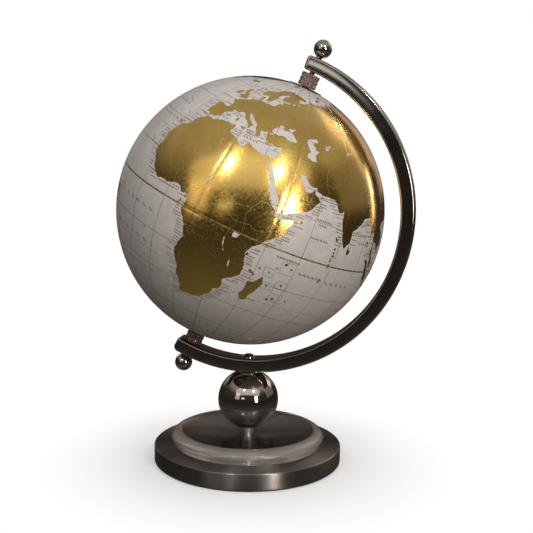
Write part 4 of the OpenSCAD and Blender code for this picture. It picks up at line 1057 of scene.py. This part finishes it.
def arm_section():
    """Section of the arm as (radius, width) points: crowned faces and round edges."""
    edge, crown = 1.8, 0.28
    half_t = (ARM_OUT - ARM_IN) / 2
    quarter = []
    for i in range(7):
        u = (half_t - edge) * i / 6
        quarter.append((u, ARM_HALF_W - crown * (u / half_t) ** 2))
    cx, cy = half_t - edge, ARM_HALF_W - crown * ((half_t - edge) / half_t) ** 2 - edge
    for a in np.linspace(0.12, math.pi / 2, 7):
        quarter.append((cx + edge * math.sin(a), cy + edge * math.cos(a)))
    quarter += [(half_t, cy * t) for t in (0.8, 0.4, 0.0)]
    half = quarter + [(u, -v) for u, v in quarter[-2::-1]]
    return half + [(-u, v) for u, v in half[-2:0:-1]]


def arm_stations():
    """Places along the arm: angle, and how far its outer and inner faces are drawn in there."""
    mid = (ARM_OUT + ARM_IN) / 2
    arc_low, arc_high = float(ARM_ANGLES.min()), float(ARM_ANGLES.max())
    rounding, steps, end_deg, middle_steps = 3.8, 8, 3, 181
    ends = []
    # Each end has its direction, its angle and the radii that round its outer and inner faces
    for sign, angle, radii in ((-1, arc_low, (3.6, 2.0)), (1, arc_high, (2.2, 1.6))):
        stations = []
        for i in range(steps + 1):
            back = rounding * (1 - math.cos(math.pi / 2 * i / steps))
            inset = []
            for r in radii:
                over = max(0.0, r - back)
                inset.append(r - math.sqrt(max(0.0, r * r - over * over)))
            stations.append((angle - sign * math.degrees(back / mid), inset))
        ends.append(stations)
    middle = [(a, [0.0, 0.0]) for a in np.linspace(arc_low + end_deg, arc_high - end_deg, middle_steps)]
    return ends[0] + middle + ends[1][::-1]


def make_arm(materials):
    """The half-round arm, its section swept along the arc and drawn in over its rounded ends."""
    section = arm_section()
    half_t = (ARM_OUT - ARM_IN) / 2
    mid = (ARM_OUT + ARM_IN) / 2
    verts, faces = [], []
    stations = arm_stations()
    for angle, (outer_in, inner_in) in stations:
        a = math.radians(angle) - TILT
        pinch = max(outer_in, inner_in) * 0.5
        for u, v in section:
            low, high = -half_t + inner_in, half_t - outer_in
            u_in = low + (u + half_t) / (2 * half_t) * (high - low)
            v_in = v * (ARM_HALF_W - pinch) / ARM_HALF_W
            r = (mid + u_in) * MM
            verts.append((CENTRE.x + r * math.cos(a), v_in * MM, CENTRE.z + r * math.sin(a)))
    n = len(section)
    for i in range(len(stations) - 1):
        for k in range(n):
            m = (k + 1) % n
            faces.append((i * n + k, i * n + m, (i + 1) * n + m, (i + 1) * n + k))
    faces.append(tuple(range(n))[::-1])
    faces.append(tuple(range((len(stations) - 1) * n, len(stations) * n)))
    mesh = smooth_mesh("arm", verts, faces, materials["arm"], ARM_SHARP_DEG)
    piece("half_round_arm", mesh, "stand", "arm_nickel", "meridian_arm")


def make_finials(materials):
    """Ball nuts on the ends of the axle, each on a short neck."""
    ball, neck = 6.8, 2.3
    axial = axial_span("top_finial")[1] - ball
    seat = axial - math.sqrt(ball ** 2 - neck ** 2)
    profile = [(0, ARM_OUT), (neck - 0.3, ARM_OUT), (neck, ARM_OUT + 0.3), (neck, seat)]
    start = math.degrees(math.atan2(seat - axial, neck))
    profile += arc(0, axial, ball, start + 2, 90, 40)
    profile[-1] = (0, axial + ball)
    for side, place in (("top", POLAR), ("bottom", POLAR_SOUTH)):
        turned(f"{side}_ball_nut", profile, place, materials["mirror"], 96,
               "stand", "mirror_nickel", f"{side}_finial", False)


def make_sleeves(materials):
    """Ribbed sleeves on the axle, with the reddish liner that shows through them."""
    r, groove, bore, core_r, ribs, end_gap = 7.0, 0.7, 2.06, 3.2, 3, 0.02
    valley, dark_share = r - groove - 0.1, 0.62
    for side, place in (("top", POLAR), ("bottom", POLAR_SOUTH)):
        start, end = sorted(abs(x) for x in axial_span(f"{side}_sleeve"))
        pitch = (end - start) / ribs
        profile = [(core_r + 0.05, start), (valley, start)]
        for i in range(ribs):
            z = start + i * pitch
            for t in np.linspace(0.04, 0.96, 9):
                profile.append((r - groove + groove * math.sin(math.pi * t) ** 0.5, z + pitch * t))
        profile += [(valley, end), (core_r + 0.05, end)]
        name = f"{side}_ribbed_sleeve"
        mesh = lathe(name, scaled(profile), place, materials["sleeve"], 96, True)
        mesh.materials.append(materials["core"])
        # The bottoms of the grooves and the sleeve's ends take the liner's colour
        for face in mesh.polygons:
            away = face.center - CENTRE
            reach = (away - Vector(AXIS) * away.dot(Vector(AXIS))).length / MM
            if core_r + 1 < reach < r - groove * dark_share:
                face.material_index = 1
        piece(name, mesh, f"{side}_sleeve", "violet_plastic", f"{side}_sleeve")
        low, high = start + end_gap, end - end_gap
        liner = [(bore, low), (core_r, low), (core_r, high), (bore, high)]
        name = f"{side}_sleeve_liner"
        core = add_object(name, lathe(name, scaled(liner), place, materials["core"], 48, True))
        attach(core, f"{side}_sleeve")


def make_axle(materials):
    """Steel rod with bevelled ends."""
    half, r, bevel = axial_span("axle_rod")[1], 2.0, 0.2
    profile = [(0, -half), (r - bevel, -half), (r, bevel - half), (r, 0), (r, half - bevel)]
    profile += [(r - bevel, half), (0, half)]
    turned("axle", profile, POLAR, materials["steel"], 48, "stand", "steel_rod", "axle_rod", False)


def make_foot(materials):
    """Pressed nickel shell of the foot with its chamfer."""
    r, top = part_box("base_shell")[1].x / MM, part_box("base_shell")[1].z / MM
    wall, rim, hole, heel = 1.2, 1.0, 2.6, 1.2
    profile = [(hole, top), (hole, top - wall), (r - wall, top - wall), (r - wall, rim), (r - heel, rim)]
    profile += arc(r - heel, rim + heel, heel, -80, 0, 6)
    profile += [(r, 4.0), (r, 8.0), (r, top - 1.0), (r - 0.05, top - 0.75)]
    profile += [(r - 0.75, top - 0.06), (r - 1.0, top), (r - 3, top), (r - 20, top), (30, top), (12, top)]
    turned("foot_cover", profile, UPRIGHT, materials["foot"], 192, "stand", "foot_nickel", "base_shell")


def make_clear_disc(materials):
    """Clear plate with a rounded shoulder, whose edge has a milkier finish than its top."""
    low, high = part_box("clear_disc")
    bottom, top = low.z / MM, high.z / MM
    band = bottom + 5.2
    flat_r, shoulder_w, hole, lift = 51.8, 7.7, 3.8, 0.06
    profile = [(hole, bottom + lift), (56.4, bottom + lift), (57.0, bottom + 0.3)]
    profile += [(57.8, bottom + 2.6), (58.6, band - 1.2), (59.2, band - 0.4)]
    for a in np.linspace(0.1, math.pi / 2, 16):
        profile.append((flat_r + shoulder_w * math.cos(a), band + (top - band) * math.sin(a)))
    profile += [(50.5, top), (30, top), (5, top), (hole, top)]
    mesh = lathe("clear_plate", scaled(profile), UPRIGHT, materials["clear"], 192, True)
    mesh.materials.append(materials["clear_edge"])
    for face in mesh.polygons:
        middle = face.center
        if math.hypot(middle.x, middle.y) > flat_r * MM and middle.z > low.z + 0.2 * MM:
            face.material_index = 1
    piece("clear_plate", mesh, "stand", "clear_acrylic", "clear_disc")


def make_neck(materials):
    """Flanged collar through the clear disc."""
    low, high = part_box("neck_collar")
    bottom, top = low.z / MM + 0.06, high.z / MM
    bore, tube_r, flange_r, flange, bevel = 2.6, 3.7, 4.8, top - 0.7, 0.15
    profile = [(bore, bottom), (tube_r, bottom), (tube_r, flange), (4.6, flange)]
    profile += [(flange_r, flange + bevel), (flange_r, top - bevel), (flange_r - bevel, top), (bore, top)]
    turned("flanged_collar", profile, UPRIGHT, materials["bright"], 64,
           "stand", "bright_nickel", "neck_collar")


def make_ball(materials):
    """Hollow mirror-plated ball, open where it sits on the collar and under the arm."""
    low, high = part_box("stand_ball")
    r, wall, foot_r = high.x / MM, 1.2, 4.8
    bottom, top = low.z / MM, high.z / MM
    centre = bottom + math.sqrt(r * r - foot_r ** 2)
    start = math.degrees(math.asin((bottom - centre) / r))
    end = math.degrees(math.asin((top - centre) / r))
    outer = arc(0, centre, r, start, end, 80)
    inner = arc(0, centre, r - wall, end - 1, start + 1, 40)
    inner[0] = (outer[-1][0] - wall, top)
    inner[-1] = (foot_r - 0.25, bottom)
    turned("mirror_ball", outer + inner, UPRIGHT, materials["mirror"], 160,
           "stand", "mirror_nickel", "stand_ball")


# CAD nodes that stay as they are, with the key of the material that each one gets
KEPT_NODES = {
    "felt_pad": "felt", "base_weight": "iron", "base_washer": "zinc", "base_screw": "zinc",
    "ball_core": "zinc", "arm_saddle": "bright", "arm_screw": "bright", "north_hemisphere": "board",
    "south_hemisphere": "board", "equator_hoop": "hoop", "north_bush": "bush", "south_bush": "bush",
}


def dress_kept_nodes(materials):
    """Gives each CAD node that stays its material."""
    for node, key in KEPT_NODES.items():
        mesh = frame["nodes"][node].data
        mesh.materials.clear()
        mesh.materials.append(materials[key])


# ---- Floor, light and camera ----

BACKDROP = (1.0, 1.0, 1.0)
FLOOR_FADE_R = 0.17      # metres from the middle at which the floor has become the backdrop


def mix_shaders(nodes, links, factor, first, second, surface):
    """Links two shaders to a surface, the second where the factor is 1."""
    mix = nodes.new("ShaderNodeMixShader")
    links.new(factor, mix.inputs["Fac"])
    links.new(first, mix.inputs[1])
    links.new(second, mix.inputs[2])
    links.new(mix.outputs["Shader"], surface)


def make_floor():
    """Plain pale floor that fades into the backdrop, just under the felt."""
    place = Matrix.Translation((0, 0, -0.0002))
    mesh = lathe("floor", [(0, 0), (0.3, 0), (0.9, 0), (3.0, 0)], place, floor_material(), 96)
    floor = add_object("floor", mesh)
    floor.visible_diffuse = False
    floor.visible_glossy = False
    floor.visible_transmission = False


def floor_material():
    """Matt pale paper that glows like the backdrop further out."""
    material, nodes, links, shader = new_material(
        "floor_paper", {"Roughness": 0.9, "Base Color": (0.9, 0.9, 0.9, 1)})
    place = nodes.new("ShaderNodeTexCoord").outputs["Object"]
    reach = nodes.new("ShaderNodeVectorMath")
    reach.operation = "LENGTH"
    links.new(place, reach.inputs[0])
    fade = nodes.new("ShaderNodeMapRange")
    fade.interpolation_type = "SMOOTHSTEP"
    fade.inputs["From Min"].default_value = 0.0
    fade.inputs["From Max"].default_value = FLOOR_FADE_R
    links.new(reach.outputs["Value"], fade.inputs["Value"])
    glow = nodes.new("ShaderNodeEmission")
    glow.inputs["Color"].default_value = (*BACKDROP, 1)
    surface = nodes["Material Output"].inputs["Surface"]
    lit, glowing = shader.outputs["BSDF"], glow.outputs["Emission"]
    mix_shaders(nodes, links, fade.outputs["Result"], lit, glowing, surface)
    return material


# Colour of the room by height, from straight down at 0 over level at 0.5 to straight up at 1
ROOM = (
    (0.0, (0.14, 0.135, 0.11)), (0.3, (0.055, 0.054, 0.045)), (0.45, (0.03, 0.025, 0.021)),
    (0.54, (0.04, 0.033, 0.028)), (0.7, (0.07, 0.058, 0.05)), (0.86, (0.42, 0.40, 0.38)),
    (1.0, (0.4, 0.39, 0.38)),
)


def make_world():
    """Plain backdrop to the camera; to everything else a studio that is dark below and pale above."""
    world = bpy.data.worlds.new("studio")
    bpy.context.scene.world = world
    world.use_nodes = True
    nodes, links = world.node_tree.nodes, world.node_tree.links
    room = nodes["Background"]
    direction = nodes.new("ShaderNodeTexCoord").outputs["Generated"]
    parts = nodes.new("ShaderNodeSeparateXYZ")
    links.new(direction, parts.inputs["Vector"])
    height = nodes.new("ShaderNodeMapRange")
    height.inputs["From Min"].default_value = -1
    links.new(parts.outputs["Z"], height.inputs["Value"])
    ramp = nodes.new("ShaderNodeValToRGB")
    stops = ramp.color_ramp.elements
    for i, (position, colour) in enumerate(ROOM):
        stop = stops[i] if i < 2 else stops.new(position)
        stop.position = position
        stop.color = (*colour, 1)
    links.new(height.outputs["Result"], ramp.inputs["Fac"])
    links.new(ramp.outputs["Color"], room.inputs["Color"])
    backdrop = nodes.new("ShaderNodeBackground")
    backdrop.inputs["Color"].default_value = (*BACKDROP, 1)
    seen = nodes.new("ShaderNodeLightPath").outputs["Is Camera Ray"]
    surface = nodes["World Output"].inputs["Surface"]
    mix_shaders(nodes, links, seen, room.outputs["Background"], backdrop.outputs["Background"], surface)


# Lights: name, azimuth from the front towards +X and elevation in degrees, distance, width and height
# in metres, power in watts and colour. Mirrors and foil show these.
LIGHTS = (
    ("lamp_left", -10, 42, 1.5, 0.09, 0.09, 2.5, (1.0, 0.98, 0.94)),
    ("lamp_right", 38, 36, 1.5, 0.09, 0.09, 3.0, (1.0, 0.98, 0.94)),
    ("front_panel", 10, 38, 1.22, 2.5, 0.66, 3.15, (1.0, 0.93, 0.86)),
    ("window", 44, 7.5, 1.5, 0.26, 0.48, 4.1, (1.0, 0.93, 0.86)),
    ("window_sun", 42, 8.5, 1.45, 0.1, 0.2, 1.7, (1.0, 0.98, 0.96)),
    ("window_low", 44, -2, 1.5, 0.2, 0.16, 1.3, (1.0, 0.72, 0.5)),
    ("window_left", -31, 15, 1.5, 0.45, 0.6, 0.65, (1.0, 0.88, 0.76)),
    ("doorway", -8, 10, 1.5, 0.3, 0.16, 0.22, (1.0, 0.95, 0.9)),
    ("right_wall", 112, 22, 1.6, 1.3, 1.2, 0.9, (1.0, 0.93, 0.8)),
    ("rim", 142, 29, 1.5, 0.6, 0.9, 2.2, (1.0, 0.8, 0.64)),
    ("rim_far", 163, 16, 1.5, 0.45, 0.8, 0.5, (1.0, 0.72, 0.5)),
    ("rim_left", -135, 12, 1.5, 0.6, 0.5, 0.3, (1.0, 0.9, 0.82)),
)
# Soft lights that no mirror or foil shows
SOFT_LIGHTS = (
    ("soft_left", -60, 40, 1.8, 1.2, 1.2, 1.1, (0.97, 0.98, 1.0)),
    ("soft_front", 30, 36, 1.8, 1.2, 1.2, 4.0, (1.0, 0.97, 0.95)),
)


def make_lights():
    """Area lights that all face the object."""
    target = Vector((0, 0, 0.17))
    for name, azimuth, elevation, distance, width, height, power, colour in LIGHTS + SOFT_LIGHTS:
        data = bpy.data.lights.new(name, "AREA")
        data.shape = "RECTANGLE"
        data.size = width
        data.size_y = height
        data.energy = power
        data.color = colour
        a, e = math.radians(azimuth), math.radians(elevation)
        away = Vector((math.sin(a) * math.cos(e), -math.cos(a) * math.cos(e), math.sin(e)))
        light = add_object(name, data)
        light.location = target + away * distance
        light.rotation_euler = away.to_track_quat("Z", "Y").to_euler()
        light.visible_glossy = not name.startswith("soft_")


# Place of the camera and the point that it looks at, in millimetres, and its roll in degrees
EYE, LOOK_AT, ROLL = (154.45, -711.0, 257.4), (13.0, -0.1, 154.25), 0.92
LENS = 64.5


def make_camera():
    """The camera where the photographer's was."""
    eye, target = Vector(EYE) * MM, Vector(LOOK_AT) * MM
    roll = math.radians(ROLL)
    forward = (target - eye).normalized()
    side = forward.cross(Vector((0, 0, 1))).normalized()
    up = side.cross(forward)
    x = side * math.cos(roll) + up * math.sin(roll)
    y = up * math.cos(roll) - side * math.sin(roll)
    data = bpy.data.cameras.new("camera")
    data.lens = LENS
    data.sensor_width = 36
    camera = add_object("camera", data)
    camera.matrix_world = Matrix.Translation(eye) @ Matrix((x, y, -forward)).transposed().to_4x4()
    bpy.context.scene.camera = camera


def build():
    """Adds every piece, the room, the lights and the camera."""
    materials = make_materials()
    make_globe(materials)
    make_arm(materials)
    make_finials(materials)
    make_sleeves(materials)
    make_axle(materials)
    make_foot(materials)
    make_clear_disc(materials)
    make_neck(materials)
    make_ball(materials)
    dress_kept_nodes(materials)
    make_floor()
    make_world()
    make_lights()
    make_camera()
    bpy.context.scene.view_settings.view_transform = "Standard"


build()
